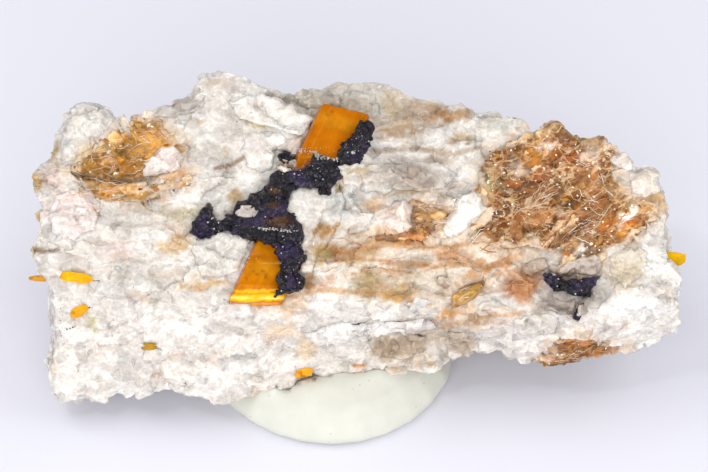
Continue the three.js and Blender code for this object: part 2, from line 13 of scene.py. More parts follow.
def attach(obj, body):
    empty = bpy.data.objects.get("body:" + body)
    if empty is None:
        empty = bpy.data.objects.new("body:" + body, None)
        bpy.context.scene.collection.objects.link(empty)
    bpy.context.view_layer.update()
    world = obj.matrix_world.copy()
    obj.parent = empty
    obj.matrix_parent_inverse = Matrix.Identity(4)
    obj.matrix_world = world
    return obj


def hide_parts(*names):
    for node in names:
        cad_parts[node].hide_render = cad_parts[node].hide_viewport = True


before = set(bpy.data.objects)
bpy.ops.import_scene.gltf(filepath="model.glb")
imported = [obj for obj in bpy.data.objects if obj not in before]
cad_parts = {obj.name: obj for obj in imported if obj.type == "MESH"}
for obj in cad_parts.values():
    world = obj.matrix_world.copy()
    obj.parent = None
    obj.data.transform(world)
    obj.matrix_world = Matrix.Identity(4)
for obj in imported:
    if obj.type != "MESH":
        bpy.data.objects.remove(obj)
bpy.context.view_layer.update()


# The block of quartz
# Milky quartz with grey, smoky and rusty parts, broken off a larger mass. The mica, kyanite and yoderite
# grew in it, so it closes up to each of them.

# Its show side faces a plane that leans back: u runs across it, v up it and w out of it
LOOK_DOWN = math.radians(45)
SHOW_MIDDLE_MM = np.array([-0.3, -4.536, 14.2])
SHOW_AXES = np.array([
    [1, 0, 0],
    [0, math.sin(LOOK_DOWN), math.cos(LOOK_DOWN)],
    [0, -math.cos(LOOK_DOWN), math.sin(LOOK_DOWN)],
])


def to_show(points):
    """Points of the frame, in metres, as u, v, w in millimetres"""
    return (np.asarray(points) * 1000 - SHOW_MIDDLE_MM) @ SHOW_AXES.T


def from_show(points):
    """Points as u, v, w in millimetres, back in the frame in metres"""
    return (np.asarray(points) @ SHOW_AXES + SHOW_MIDDLE_MM) / 1000


def random_of(cells, salt):
    """A steady random number from 0 to 1 for each whole-number cell"""
    x, y, z = cells.astype(np.int64).astype(np.uint32).T
    mixed = x * np.uint32(374761393) + y * np.uint32(668265263) + z * np.uint32(2246822519)
    mixed = mixed + np.uint32(salt * 3266489917 % 2**32)
    mixed = (mixed ^ (mixed >> np.uint32(15))) * np.uint32(2654435761)
    mixed = (mixed ^ (mixed >> np.uint32(13))) * np.uint32(1274126177)
    return ((mixed >> np.uint32(8)) & np.uint32(0xFFFF)) / 65535


def facets(points, cell, salt):
    """Flat leaning facets with sharp edges, from about -1 to 1, and a random number for each facet"""
    scaled = points / cell
    middle = np.floor(scaled)
    nearest = np.full(len(points), np.inf)
    height = np.zeros(len(points))
    pick = np.zeros(len(points))
    for step in itertools.product((-1, 0, 1), repeat=3):
        cells = middle + step
        seed = np.stack([random_of(cells, salt + axis) for axis in range(3)], axis=1)
        away = scaled - cells - seed
        distance = (away ** 2).sum(axis=1)
        closer = distance < nearest
        nearest[closer] = distance[closer]
        lean = np.stack([random_of(cells[closer], salt + 4 + axis) for axis in range(3)], axis=1)
        height[closer] = 1.2 * (random_of(cells[closer], salt + 8) - 0.5)
        height[closer] += ((lean - 0.5) * away[closer]).sum(axis=1)
        pick[closer] = random_of(cells[closer], salt + 9)
    return height, pick


def cloud(points, size, salt):
    """Smooth noise from 0 to 1 with lumps of a given size"""
    scaled = points / size
    low = np.floor(scaled)
    part = scaled - low
    part = part * part * (3 - 2 * part)
    total = np.zeros(len(points))
    for corner in itertools.product((0, 1), repeat=3):
        weight = np.prod(np.where(corner, part, 1 - part), axis=1)
        total += weight * random_of(low + corner, salt)
    return total


def ramp(values, low, high):
    """0 below low, 1 above high and smooth between them"""
    part = np.clip((values - low) / (high - low), 0, 1)
    return part * part * (3 - 2 * part)


def linear(hex_colour):
    """An sRGB hex value such as 0xE9E4DE as linear red, green, blue and alpha"""
    shares = [((hex_colour >> shift) & 255) / 255 for shift in (16, 8, 0)]
    return [s / 12.92 if s <= 0.04045 else ((s + 0.055) / 1.055) ** 2.4 for s in shares] + [1.0]


def paint(colours, weights, hex_colour):
    """Lays a colour over others, as strongly as the weights say"""
    weights = np.clip(weights, 0, 1)[:, None]
    return colours * (1 - weights) + np.array(linear(hex_colour)) * weights


def ragged_of(show):
    """Steady sideways wobbles, from about -1 to 1, that make joins and patches ragged"""
    flat = show * (1, 1, 0)
    coarse = np.stack([cloud(flat, 0.8, 11), cloud(flat, 0.8, 12)], axis=1)
    fine = np.stack([cloud(flat, 0.3, 13), cloud(flat, 0.3, 14)], axis=1)
    return 1.6 * coarse + 1.2 * fine - 1.4


def patch_weight(show, ragged, patch, ragged_mm):
    """How strongly an oval patch (u, v, half length, half height, turn) covers each point"""
    u, v, half_u, half_v, turn = patch
    away = show[:, :2] - (u, v) + ragged * ragged_mm
    angle = math.radians(turn)
    along = (away[:, 0] * math.cos(angle) + away[:, 1] * math.sin(angle)) / half_u
    over = (away[:, 1] * math.cos(angle) - away[:, 0] * math.sin(angle)) / half_v
    return 1 - ramp(np.hypot(along, over), 0.5, 1.3)


def paint_patches(colours, show, patches, ragged_mm):
    """Lays patches (u, v, half length, half height, turn, colour, strength) over the show side"""
    ragged = ragged_of(show)
    on_show_side = ramp(show[:, 2], -10, -7.5)
    for *patch, hex_colour, strength in patches:
        weight = strength * on_show_side * patch_weight(show, ragged, patch, ragged_mm)
        colours = paint(colours, weight, hex_colour)
    return colours


def line_distance(show, line):
    """Distance in millimetres on the show plane from each point to a line through (u, v) points"""
    best = np.full(len(show), np.inf)
    for start, end in zip(line, line[1:]):
        start, way = np.array(start), np.array(end) - np.array(start)
        share = np.clip(((show[:, :2] - start) @ way) / (way @ way), 0, 1)
        best = np.minimum(best, np.linalg.norm(show[:, :2] - start - share[:, None] * way, axis=1))
    return best


def new_piece(name, mesh):
    piece = bpy.data.objects.new(name, mesh)
    bpy.context.scene.collection.objects.link(piece)
    return piece


def even_mesh(node, voxel_mm):
    """A node's shape as a fresh mesh of even small faces"""
    piece = new_piece("even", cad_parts[node].data.copy())
    remesh = piece.modifiers.new("even", "REMESH")
    remesh.mode = "VOXEL"
    remesh.voxel_size = voxel_mm / 1000
    mesh = bpy.data.meshes.new_from_object(piece.evaluated_get(bpy.context.evaluated_depsgraph_get()))
    bpy.data.objects.remove(piece)
    mesh.materials.clear()
    return mesh


def split_faces(mesh, chosen):
    """Cuts each chosen face in four"""
    shape = bmesh.new()
    shape.from_mesh(mesh)
    shape.faces.ensure_lookup_table()
    edges = {edge for index in chosen for edge in shape.faces[index].edges}
    bmesh.ops.subdivide_edges(shape, edges=list(edges), cuts=1, use_grid_fill=True, smooth=0.4)
    shape.to_mesh(mesh)
    shape.free()


def read_points(mesh):
    values = np.empty(len(mesh.vertices) * 3, np.float32)
    mesh.vertices.foreach_get("co", values)
    return values.reshape(-1, 3).astype(float)


def read_normals(mesh):
    """Each vertex's normal in the show plane's axes"""
    values = np.empty(len(mesh.vertices) * 3, np.float32)
    mesh.vertices.foreach_get("normal", values)
    return values.reshape(-1, 3).astype(float) @ SHOW_AXES.T


def write_show(mesh, show):
    """Moves a mesh's vertices to points given as u, v, w"""
    mesh.vertices.foreach_set("co", from_show(show).astype(np.float32).ravel())
    mesh.update()


def write_tone(mesh, colours):
    tone = mesh.color_attributes.new("tone", "FLOAT_COLOR", "POINT")
    tone.data.foreach_set("color", np.asarray(colours, np.float32).ravel())


def smooth_shaded(mesh, crisp_degrees=180):
    """Shades a mesh smooth, except across edges that bend by more than some degrees"""
    mesh.polygons.foreach_set("use_smooth", [True] * len(mesh.polygons))
    mesh.set_sharp_from_angle(angle=math.radians(crisp_degrees))
    mesh.update()


def tree_of(*nodes):
    """The nodes' surfaces in one search tree"""
    points, faces = [], []
    for node in nodes:
        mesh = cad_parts[node].data
        faces += [[len(points) + i for i in face.vertices] for face in mesh.polygons]
        points += [vertex.co.copy() for vertex in mesh.vertices]
    return BVHTree.FromPolygons(points, faces)


def nearest_on(tree, points, reach_mm, sink_mm=0.0):
    """The nearest spot of a surface to each point, sunk into it, and its distance in millimetres"""
    spots = points.copy()
    distances = np.full(len(points), reach_mm)
    for i, point in enumerate(points):
        spot, normal, _, distance = tree.find_nearest(Vector(point), reach_mm / 1000)
        if spot is not None:
            spots[i] = spot - normal * sink_mm / 1000
            distances[i] = distance * 1000
    return spots, distances


def warp_joins(show, kyanite_distance):
    """Shifts points sideways by the ragged field, alike in each piece, except near the straight kyanites"""
    free = ramp(kyanite_distance, 0.2, 1.4)[:, None]
    show[:, :2] += JOIN_WOBBLE_MM * free * ragged_of(show)


def add_node(tree, kind, inputs=None, **settings):
    """Adds a node, with its settings, and sets or links its inputs"""
    made = tree.nodes.new(kind)
    for name, value in settings.items():
        setattr(made, name, value)
    for name, value in (inputs or {}).items():
        if isinstance(value, bpy.types.NodeSocket):
            tree.links.new(value, made.inputs[name])
        else:
            made.inputs[name].default_value = value
    return made


def new_material(name):
    """An empty material, its node tree, and its object coordinates in metres"""
    material = bpy.data.materials.new(name)
    material.use_nodes = True
    tree = material.node_tree
    tree.nodes.clear()
    place = add_node(tree, "ShaderNodeTexCoord").outputs["Object"]
    return material, tree, place


def per_mm(size_mm):
    """A texture's scale that gives a pattern of this size"""
    return 1000 / size_mm


def finish_material(tree, inputs):
    shader = add_node(tree, "ShaderNodeBsdfPrincipled", inputs)
    add_node(tree, "ShaderNodeOutputMaterial", {"Surface": shader.outputs["BSDF"]})


def glinting_normal(tree, place, facet_mm, lean):
    """A normal that leans its own way on each small crystal face, so that some of them catch the light"""
    cells = add_node(tree, "ShaderNodeTexVoronoi", {"Vector": place, "Scale": per_mm(facet_mm)})
    way = add_node(tree, "ShaderNodeVectorMath", {0: cells.outputs["Color"], 1: (0.5, 0.5, 0.5)},
                   operation="SUBTRACT")
    leaning = add_node(tree, "ShaderNodeVectorMath", {0: way.outputs["Vector"], "Scale": lean},
                       operation="SCALE")
    facing = add_node(tree, "ShaderNodeNewGeometry").outputs["Normal"]
    both = add_node(tree, "ShaderNodeVectorMath", {0: facing, 1: leaning.outputs["Vector"]}, operation="ADD")
    return add_node(tree, "ShaderNodeVectorMath", {0: both.outputs["Vector"]}, operation="NORMALIZE")


QUARTZ_FACE_SIZE_MM = 0.8


def milky_quartz():
    """Milky quartz, freshly broken: clear grey glass and white veils of tiny cracks, with glinting grains"""
    material, tree, place = new_material("milky_quartz")
    tone = add_node(tree, "ShaderNodeAttribute", attribute_name="tone")
    # Layers run along the block, so the veils are drawn out that way
    drawn_out = add_node(tree, "ShaderNodeMapping", {"Vector": place, "Scale": (0.55, 1.0, 1.0)})
    veils = add_node(tree, "ShaderNodeTexNoise", {
        "Vector": drawn_out.outputs["Vector"], "Scale": per_mm(1.7), "Detail": 8.0, "Roughness": 0.72,
        "Distortion": 0.9,
    })
    veil = add_node(tree, "ShaderNodeMapRange", {
        "Value": veils.outputs["Fac"], "From Min": 0.42, "From Max": 0.58, "To Min": 0.0, "To Max": 1.0,
    })
    veiled = add_node(tree, "ShaderNodeMix", {
        "Factor": veil.outputs["Result"], "A": (0.81, 0.78, 0.75, 1), "B": (1.04, 1.04, 1.03, 1),
    }, data_type="RGBA")
    # Each broken face of about 0.8 mm has its own brightness, and the cracks round it are fine bright lines
    faces = add_node(tree, "ShaderNodeTexVoronoi", {"Vector": place, "Scale": per_mm(QUARTZ_FACE_SIZE_MM)})
    face_pick = add_node(tree, "ShaderNodeSeparateColor", {"Color": faces.outputs["Color"]})
    cracks = add_node(tree, "ShaderNodeTexVoronoi", {
        "Vector": place, "Scale": per_mm(QUARTZ_FACE_SIZE_MM),
    }, feature="DISTANCE_TO_EDGE")
    crack = add_node(tree, "ShaderNodeMapRange", {
        "Value": cracks.outputs["Distance"], "From Min": 0.0, "From Max": 0.05, "To Min": 0.15, "To Max": 0.0,
    })
    face_tone = add_node(tree, "ShaderNodeMapRange", {
        "Value": face_pick.outputs["Blue"], "To Min": -0.09, "To Max": 0.07,
    })
    face_light = add_node(tree, "ShaderNodeMath", {
        0: crack.outputs["Result"], 1: face_tone.outputs["Result"],
    }, operation="ADD")
    grains = add_node(tree, "ShaderNodeTexVoronoi", {"Vector": place, "Scale": per_mm(0.2)})
    grain_pick = add_node(tree, "ShaderNodeSeparateColor", {"Color": grains.outputs["Color"]})
    grain_tone = add_node(tree, "ShaderNodeMapRange", {
        "Value": grain_pick.outputs["Red"], "To Min": 0.87, "To Max": 1.05,
    })
    lit = add_node(tree, "ShaderNodeMath", {
        0: grain_tone.outputs["Result"], 1: face_light.outputs["Value"],
    }, operation="ADD")
    mottled = add_node(tree, "ShaderNodeVectorMath", {
        0: tone.outputs["Color"], "Scale": lit.outputs["Value"],
    }, operation="SCALE")
    cloudy = add_node(tree, "ShaderNodeVectorMath", {
        0: mottled.outputs["Vector"], 1: veiled.outputs["Result"],
    }, operation="MULTIPLY")
    rough = add_node(tree, "ShaderNodeMapRange", {
        "Value": grain_pick.outputs["Green"], "To Min": 0.05, "To Max": 0.3,
    })
    finish_material(tree, {
        "Base Color": cloudy.outputs["Vector"],
        "Roughness": rough.outputs["Result"],
        "Normal": glinting_normal(tree, place, QUARTZ_FACE_SIZE_MM, 0.6).outputs["Vector"],
        "IOR": 1.544,
        "Subsurface Weight": 0.65,
        "Subsurface Radius": (1.0, 0.94, 0.87),
        "Subsurface Scale": 0.0008,
    })
    return material


JOIN_WOBBLE_MM = 0.2
EMBEDDED = [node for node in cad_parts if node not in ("quartz_matrix", "putty_pad")]
MICAS = [node for node in EMBEDDED if node.startswith("mica")]
KYANITES = [node for node in EMBEDDED if node.startswith("kyanite")]

QUARTZ_WHITE = 0xE5E0D9
# Patches of colour in the quartz: u, v, half length, half height, turn, colour, strength
QUARTZ_PATCHES = [
    (5.0, -1.4, 7.5, 3.4, 4, 0xEBDCC8, 0.8),  # the warm layers right of the blade's foot
    (-19.4, 7.8, 2.3, 2.0, 0, 0xD9D5CD, 0.7),  # clear knob at the upper left
    (-13.2, 9.6, 1.7, 0.7, 15, 0xAEA49C, 0.85),  # grey wedge on the top edge
    (-7.2, 8.3, 0.85, 0.45, -20, 0xCDB684, 0.85),
    (-11.6, 8.4, 0.4, 0.3, 0, 0xD9BE94, 0.8),
    (-14.0, 7.5, 0.9, 0.6, 0, 0xD2B48A, 0.8),
    (-6.6, 6.0, 1.2, 0.5, 40, 0xD8CBB6, 0.7),
    (-9.3, 6.1, 0.4, 0.25, 0, 0xC4A97A, 0.7),
    (-12.7, 1.7, 1.9, 0.8, 5, 0xCBC0A6, 0.85),
    (-19.6, 5.9, 0.9, 0.9, 0, 0xE0C48C, 0.8),
    (-13.4, 4.5, 1.6, 0.5, 5, 0xD4A674, 0.85),
    (-8.8, 2.9, 0.7, 0.5, 20, 0xB5925E, 0.85),  # rusty spot by the crust
    (-21.7, 1.8, 1.7, 1.0, 0, 0xEEDFDA, 0.7),
    (-22.1, 4.2, 0.9, 0.8, 0, 0xE8CFC6, 0.7),
    (-23.6, 4.1, 0.8, 1.0, 0, 0xC39C58, 0.85),  # round golden grain on the left end
    (-22.5, 6.3, 0.7, 0.9, -30, 0xA88C58, 0.85),
    (-23.4, 1.5, 0.5, 0.5, 0, 0xB39472, 0.7),
    (-23.3, -1.0, 0.8, 0.35, 0, 0x96794F, 0.8),
    (-13.2, -0.6, 1.5, 0.7, 15, 0xD3B384, 0.85),  # tan lens left of the crust
    (-9.6, -1.2, 2.1, 1.2, 15, 0xD3CEC6, 0.8),  # smooth egg of grey quartz
    (-17.6, -0.9, 1.5, 0.7, 0, 0xD8C8C2, 0.75),
    (-11.0, -3.6, 2.1, 0.3, 3, 0xD6B384, 0.9),
    (-15.5, -4.5, 1.3, 0.4, -5, 0xCDBBA7, 0.7),
    (-19.3, -6.3, 0.4, 0.4, 0, 0xCBC490, 0.7),
    (-11.6, -9.2, 0.9, 0.25, 0, 0xD2CABC, 0.7),
    (-15.8, -10.8, 1.4, 1.0, 0, 0xDEDAD4, 0.6),
    (-0.3, 10.2, 5.2, 2.1, -3, 0xBAB2A2, 0.95),  # grey block set back behind the blade, its grey partly painted shade cast by the ledge in front
    (2.7, 9.9, 0.7, 1.1, 0, 0xD2B876, 0.8),
    (-5.6, 10.2, 1.2, 0.6, -20, 0xA9A399, 0.85),
    (4.9, 9.5, 2.4, 0.7, -5, 0xB59C80, 0.85),
    (7.2, 9.1, 1.7, 0.5, 8, 0xA88050, 0.9),
    (3.6, 8.0, 2.0, 0.6, 5, 0xBB9E7C, 0.85),
    (8.1, 7.3, 1.2, 0.4, 10, 0xCAB086, 0.8),
    (10.9, 8.7, 1.8, 0.7, 0, 0xC2C0B6, 0.85),
    (0.6, 5.0, 1.2, 0.35, 5, 0xC0A880, 0.85),
    (3.9, 4.4, 3.4, 1.3, -8, 0xB6ABA0, 0.9),  # long grey ledge right of the blade
    (5.2, 3.6, 0.7, 0.5, 0, 0x9C8E80, 0.8),
    (6.3, 5.6, 1.1, 0.5, 0, 0xBCAC9C, 0.8),
    (8.0, 3.4, 1.6, 0.7, 0, 0xBEBAB3, 0.8),
    (-0.7, 2.6, 1.6, 1.0, 0, 0xC6C6C2, 0.85),
    (-1.35, 3.6, 0.28, 0.36, 0, 0x8C7A50, 0.9),  # small olive grain by the crust
    (1.1, 2.1, 1.4, 0.6, 10, 0xD9B388, 0.8),
    (3.3, 1.3, 1.1, 0.95, 0, 0xEFD5C8, 0.9),  # pink plate
    # Layers between the blade and the right mica, from the top down
    (-1.1, 0.5, 2.0, 0.55, 3, 0xB98E54, 0.95),
    (3.2, -0.2, 2.0, 0.38, 3, 0xC48A4C, 0.85),
    (-2.2, -1.3, 1.1, 0.75, 0, 0xBCA468, 0.9),
    (-1.2, -1.3, 0.4, 0.8, -10, 0xA86C2A, 0.85),
    (0.2, -1.2, 1.7, 0.5, 6, 0xB99562, 0.85),
    (4.2, -2.1, 1.5, 0.6, 5, 0xC0AE9C, 0.85),
    (7.2, -1.5, 1.6, 0.6, -6, 0xB98046, 0.85),
    (10.6, -1.9, 1.7, 0.4, 14, 0xC48C4E, 0.9),
    (8.8, -2.9, 0.8, 0.6, 0, 0xB8895A, 0.85),
    (11.2, -2.7, 1.3, 0.35, 5, 0xCFA070, 0.8),
    (-3.2, -3.3, 0.65, 0.7, 0, 0x986A2E, 0.95),
    (-2.0, -3.5, 0.8, 0.45, 20, 0xD2A684, 0.75),
    (1.1, -3.4, 1.1, 1.3, 0, 0xB8A06C, 0.9),
    (3.0, -3.1, 1.5, 0.7, 8, 0xC6B49C, 0.85),
    (3.2, -4.2, 1.5, 0.5, 14, 0xC8A462, 0.85),
    (7.0, -3.3, 1.3, 0.9, 0, 0xCBBBA8, 0.85),
    (7.1, -5.8, 1.1, 0.45, 8, 0xCF9544, 0.95),
    (8.8, -6.0, 1.0, 0.7, 0, 0xCDB89C, 0.85),
    (-4.6, -4.9, 1.5, 0.9, 20, 0xE8CCAA, 0.8),
    (-5.5, -6.8, 1.1, 0.5, 10, 0xE8CEAC, 0.75),
    (-3.6, -8.4, 0.7, 1.0, 0, 0xDDC4A0, 0.75),
    # Smoky hollow over the putty
    (4.9, -7.7, 4.0, 1.6, 4, 0xC0AE98, 0.85),
    (2.3, -8.2, 1.2, 1.2, 0, 0xA08868, 0.8),
    (4.2, -8.0, 1.0, 0.9, 0, 0xA8927A, 0.75),
    (4.7, -6.5, 2.2, 0.5, 5, 0xB0A094, 0.85),
    (8.0, -8.3, 1.1, 1.1, 0, 0xBCA68C, 0.8),
    (5.9, -8.4, 0.8, 0.6, 0, 0xEDE6E0, 0.8),
    (-0.3, -10.4, 1.6, 0.25, 6, 0x8E6F50, 0.9),
    (0.4, -9.8, 0.5, 0.2, 0, 0xC98530, 0.9),
    (5.9, -9.7, 1.2, 0.25, 3, 0xBF9850, 0.8),
    (12.5, -3.7, 1.7, 1.1, 10, 0xBA7A3C, 0.95),
    (13.3, -2.8, 0.9, 0.4, 5, 0x8F6C50, 0.95),
    (16.1, -3.9, 2.5, 1.8, -10, 0x877A72, 0.85),  # smoky lens round the lower right yoderite
    (13.5, -6.5, 1.7, 0.8, -5, 0xC3B9AC, 0.85),
    (19.8, -2.8, 1.4, 1.0, 0, 0xC7B390, 0.85),
    (20.2, -6.1, 1.1, 0.35, 50, 0xD1B290, 0.8),
    (19.9, 5.5, 1.0, 0.8, 0, 0xE8D8C8, 0.85),
    (21.4, 3.9, 1.2, 0.9, 0, 0xE8D8C8, 0.85),
    (21.9, 2.3, 1.4, 0.7, 15, 0xCFA25A, 0.8),
    (20.9, -5.2, 2.4, 1.8, 0, 0xF6F3EE, 0.8),
]
# Where thin rusty layers run through the quartz: u, v, half length, half height, turn, strength
LAYERED = [
    (4.5, -1.2, 8.0, 3.6, 4, 1.0),
    (5.5, 8.2, 5.0, 1.9, 6, 0.7),
    (9.5, -5.6, 5.0, 1.6, 8, 0.6),
    (-17.5, 3.0, 4.5, 1.6, 2, 0.8),
    (-12.5, 0.6, 3.6, 1.6, 8, 0.5),
    (6.0, 4.4, 4.0, 1.6, -4, 0.35),
    (-18.0, -1.6, 4.0, 2.4, 0, 0.35),
]
LEFT_SEAM = [(-20.4, 4.5), (-18.5, 4.1), (-16.8, 4.0), (-15.0, 4.3), (-13.9, 4.7), (-13.1, 4.95)]
# Thin dark or rusty seams in the quartz: colour, half width and the points that they run through
QUARTZ_SEAMS = [
    (0x6E6052, 0.05, LEFT_SEAM),  # dark, under the left patch of mica
    (0x8E6844, 0.06, [(-10.2, 5.0), (-9.2, 5.2), (-8.0, 5.9)]),
    (0x77604A, 0.04, [(-23.1, -1.2), (-21.5, -1.0)]),
    (0xC99A62, 0.12, [(-6.5, -4.6), (-2, -3.9), (1.5, -4.2), (5.5, -4.9)]),
    (0xC08A4C, 0.1, [(-1.2, -1.2), (2.5, -0.6), (6.5, -0.9), (10.5, -0.2)]),
    (0xC6935A, 0.1, [(2, -1.9), (6, -2.2), (9.5, -1.9)]),
    (0xCBA070, 0.1, [(6.5, -6.6), (9.5, -5.8), (12, -5.7)]),
    (0xB9A58E, 0.1, [(1, 6.2), (4, 6.5), (7.5, 6.1), (9.5, 6.6)]),
    (0xB8A48A, 0.1, [(1.5, 2.9), (5, 3.4), (8.5, 2.4)]),
]


DRAWN_OUT = (0.6, 1.0, 1.0)
BROKEN_BLOCKS = (2.4, 61)  # size in mm and salt of the blocks that differ in tone


def quartz_colours(show, mica_distance):
    """White, with the patches and seams of the show side, and clouds of grey and rust everywhere"""
    colours = np.tile(linear(QUARTZ_WHITE), (len(show), 1))
    grey = ramp(cloud(show, 3.1, 41) + 0.4 * cloud(show, 0.8, 42), 0.75, 1.1)
    colours = paint(colours, 0.5 * grey, 0xCFCBC5)
    rust = ramp(cloud(show * (0.6, 1.6, 1.6), 2.3, 43) + 0.5 * cloud(show, 0.6, 44), 0.98, 1.25)
    colours = paint(colours, 0.4 * rust, 0xD8B690)
    colours = paint_patches(colours, show, QUARTZ_PATCHES, 0.4)
    bent = show + 0.5 * (cloud(show, 2.6, 47) - 0.5)[:, None] * (0, 1, 0)
    streaks = cloud(bent * (0.16, 1.0, 0.4), 0.34, 48) + 0.35 * cloud(bent * (0.3, 1, 1), 0.16, 49)
    layers = ramp(streaks, 0.74, 0.98)
    ragged = ragged_of(show)
    for *area, strength in LAYERED:
        colours = paint(colours, 0.62 * strength * layers * patch_weight(show, ragged, area, 0.5), 0xC48E50)
    for hex_colour, half_width, line in QUARTZ_SEAMS:
        edge = half_width * (0.3 + 1.4 * cloud(show, 0.5, 45))
        seam = 1 - ramp(line_distance(show, line), edge, edge + 0.2)
        colours = paint(colours, 0.75 * seam, hex_colour)
    near_mica = 1 - ramp(mica_distance + 0.9 * cloud(show, 0.7, 46), 0.2, 1.5)
    colours = paint(colours, 0.55 * near_mica, 0xD9A766)
    _, block_pick = facets(show * DRAWN_OUT, *BROKEN_BLOCKS)
    _, pick = facets(show, 0.7, 51)
    colours[:, :3] *= (0.87 + 0.12 * block_pick + 0.06 * pick)[:, None]
    return np.clip(colours, 0, 1)


QUARTZ_FACE_MM = 0.32
# Broken facets, drawn out along the layers: cell size, height and salt
QUARTZ_FACETS = [(2.4, 0.34, 61), (1.1, 0.08, 71), (0.6, 0.025, 81)]
QUARTZ_CRISP_DEGREES = 20
CLOSING_REACH_MM = 0.62
SINK_MM = 0.2


def make_quartz():
    mesh = even_mesh("quartz_matrix", QUARTZ_FACE_MM)
    normals = np.empty(len(mesh.polygons) * 3, np.float32)
    mesh.polygons.foreach_get("normal", normals)
    facing = (normals.reshape(-1, 3) @ SHOW_AXES.T)[:, 2] > 0.2
    split_faces(mesh, np.nonzero(facing)[0])
    points = read_points(mesh)
    spots, distance = nearest_on(tree_of(*EMBEDDED), points, 2.0, SINK_MM)
    _, mica_distance = nearest_on(tree_of(*MICAS), points, 2.0)
    _, kyanite_distance = nearest_on(tree_of(*KYANITES), points, 2.0)
    pull = 1 - ramp(distance, 0.35, CLOSING_REACH_MM)
    points += (spots - points) * pull[:, None]
    show = to_show(points)
    normal = read_normals(mesh)
    warp_joins(show, kyanite_distance)
    calm = ramp(distance, 0.25, 1.0)
    shape = show.copy()
    for cell, height, salt in QUARTZ_FACETS:
        lift, _ = facets(shape * DRAWN_OUT, cell, salt)
        show += normal * (calm * height * lift)[:, None]
    write_show(mesh, show)
    write_tone(mesh, quartz_colours(show, mica_distance))
    smooth_shaded(mesh, QUARTZ_CRISP_DEGREES)
    return mesh


quartz = new_piece("quartz_block", make_quartz())
quartz.data.materials.append(milky_quartz())
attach(quartz, "root")
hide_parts("quartz_matrix")


# The grains of the quartz
# Broken quartz is a mass of glassy grains, and hundreds of their corners stand a little proud of the
# block. They are small angular solids with flat glinting faces, set into its surface.


NO_SURFACE_MM = -99.0  # the height given at a spot that a surface doesn't reach
OFF_THE_ROCK_MM = -20  # what lies lower than this is off the rock


class Surface:
    """A finished mesh that small things are set on"""

    def __init__(self, piece):
        mesh = piece.data
        faces = [tuple(face.vertices) for face in mesh.polygons]
        self.tree = BVHTree.FromPolygons(read_points(mesh).tolist(), faces)
        self.areas = np.array([face.area for face in mesh.polygons])
        self.middles = np.array([face.center for face in mesh.polygons])
        self.normals = np.array([face.normal for face in mesh.polygons])

    def scatter(self, count, random):
        """Places, and the way that the surface faces there, spread evenly over it"""
        picks = random.choice(len(self.areas), count, p=self.areas / self.areas.sum())
        return to_show(self.middles[picks]), self.normals[picks] @ SHOW_AXES.T

    def height_at(self, u, v):
        """How far towards the viewer the surface stands at a spot of the show plane, and how it faces"""
        start = Vector(from_show([u, v, 15]))
        spot, normal, _, _ = self.tree.ray_cast(start, Vector(-SHOW_AXES[2]), 0.035)
        if spot is None:
            return NO_SURFACE_MM, np.array([0.0, 0.0, 1.0])
        return to_show(np.array(spot))[2], np.array(normal) @ SHOW_AXES.T


GRAIN_CORNERS = 11


def angular_solid(random):
    """The corners and faces of a small angular solid inside a ball of radius 1"""
    shape = bmesh.new()
    ways = random.normal(size=(GRAIN_CORNERS, 3))
    ways /= np.linalg.norm(ways, axis=1)[:, None]
    for way in ways:
        shape.verts.new(way * random.uniform(0.8, 1.0))
    made = bmesh.ops.convex_hull(shape, input=shape.verts)
    inside = {part for part in made["geom_interior"] if isinstance(part, bmesh.types.BMVert)}
    bmesh.ops.delete(shape, geom=list(inside), context="VERTS")
    shape.verts.index_update()
    points = np.array([vertex.co for vertex in shape.verts])
    faces = [[vertex.index for vertex in face.verts] for face in shape.faces]
    shape.free()
    return points, faces


def axes_on(normal, turn):
    """Three unit axes, the last along the normal and the first turned round it"""
    side = np.cross([0.0, 1.0, 0.0] if abs(normal[1]) < 0.9 else [1.0, 0.0, 0.0], normal)
    side /= np.linalg.norm(side)
    other = np.cross(normal, side)
    first = side * math.cos(turn) + other * math.sin(turn)
    return np.stack([first, np.cross(normal, first), normal])


def joined_mesh(name, solids, crisp_degrees=0):
    """One mesh of many closed solids, each given as show points, faces and its colour or colours"""
    points, faces, colours = [], [], []
    for solid_points, solid_faces, colour in solids:
        faces += [[len(points) + index for index in face] for face in solid_faces]
        points += list(solid_points)
        colours += list(np.broadcast_to(colour, (len(solid_points), 4)))
    mesh = bpy.data.meshes.new(name)
    mesh.from_pydata(from_show(np.array(points)).tolist(), [], faces)
    mesh.update()
    write_tone(mesh, colours)
    smooth_shaded(mesh, crisp_degrees)
    return mesh


GRAIN_KINDS = [angular_solid(np.random.default_rng(200 + kind)) for kind in range(24)]


def grain(random, at, normal, size, colour, squash=0.5, sunk=0.72):
    """One angular grain set in the surface at a place"""
    points, faces = GRAIN_KINDS[random.integers(len(GRAIN_KINDS))]
    axes = axes_on(normal, random.uniform(0, math.tau))
    stretch = np.array([size, size * random.uniform(0.55, 0.9), size * squash])
    return (points * stretch) @ axes + at - normal * size * squash * sunk, faces, colour


# Knobs of stained quartz that stand out of the left end: u, v, half size, colour
END_KNOBS = [
    (-23.0, 4.35, 0.85, 0xC8A060), (-23.05, 3.5, 0.85, 0xD2B080), (-23.1, 1.55, 0.7, 0xD8C0A0),
    (-23.35, -1.0, 0.5, 0xBFA684),
]


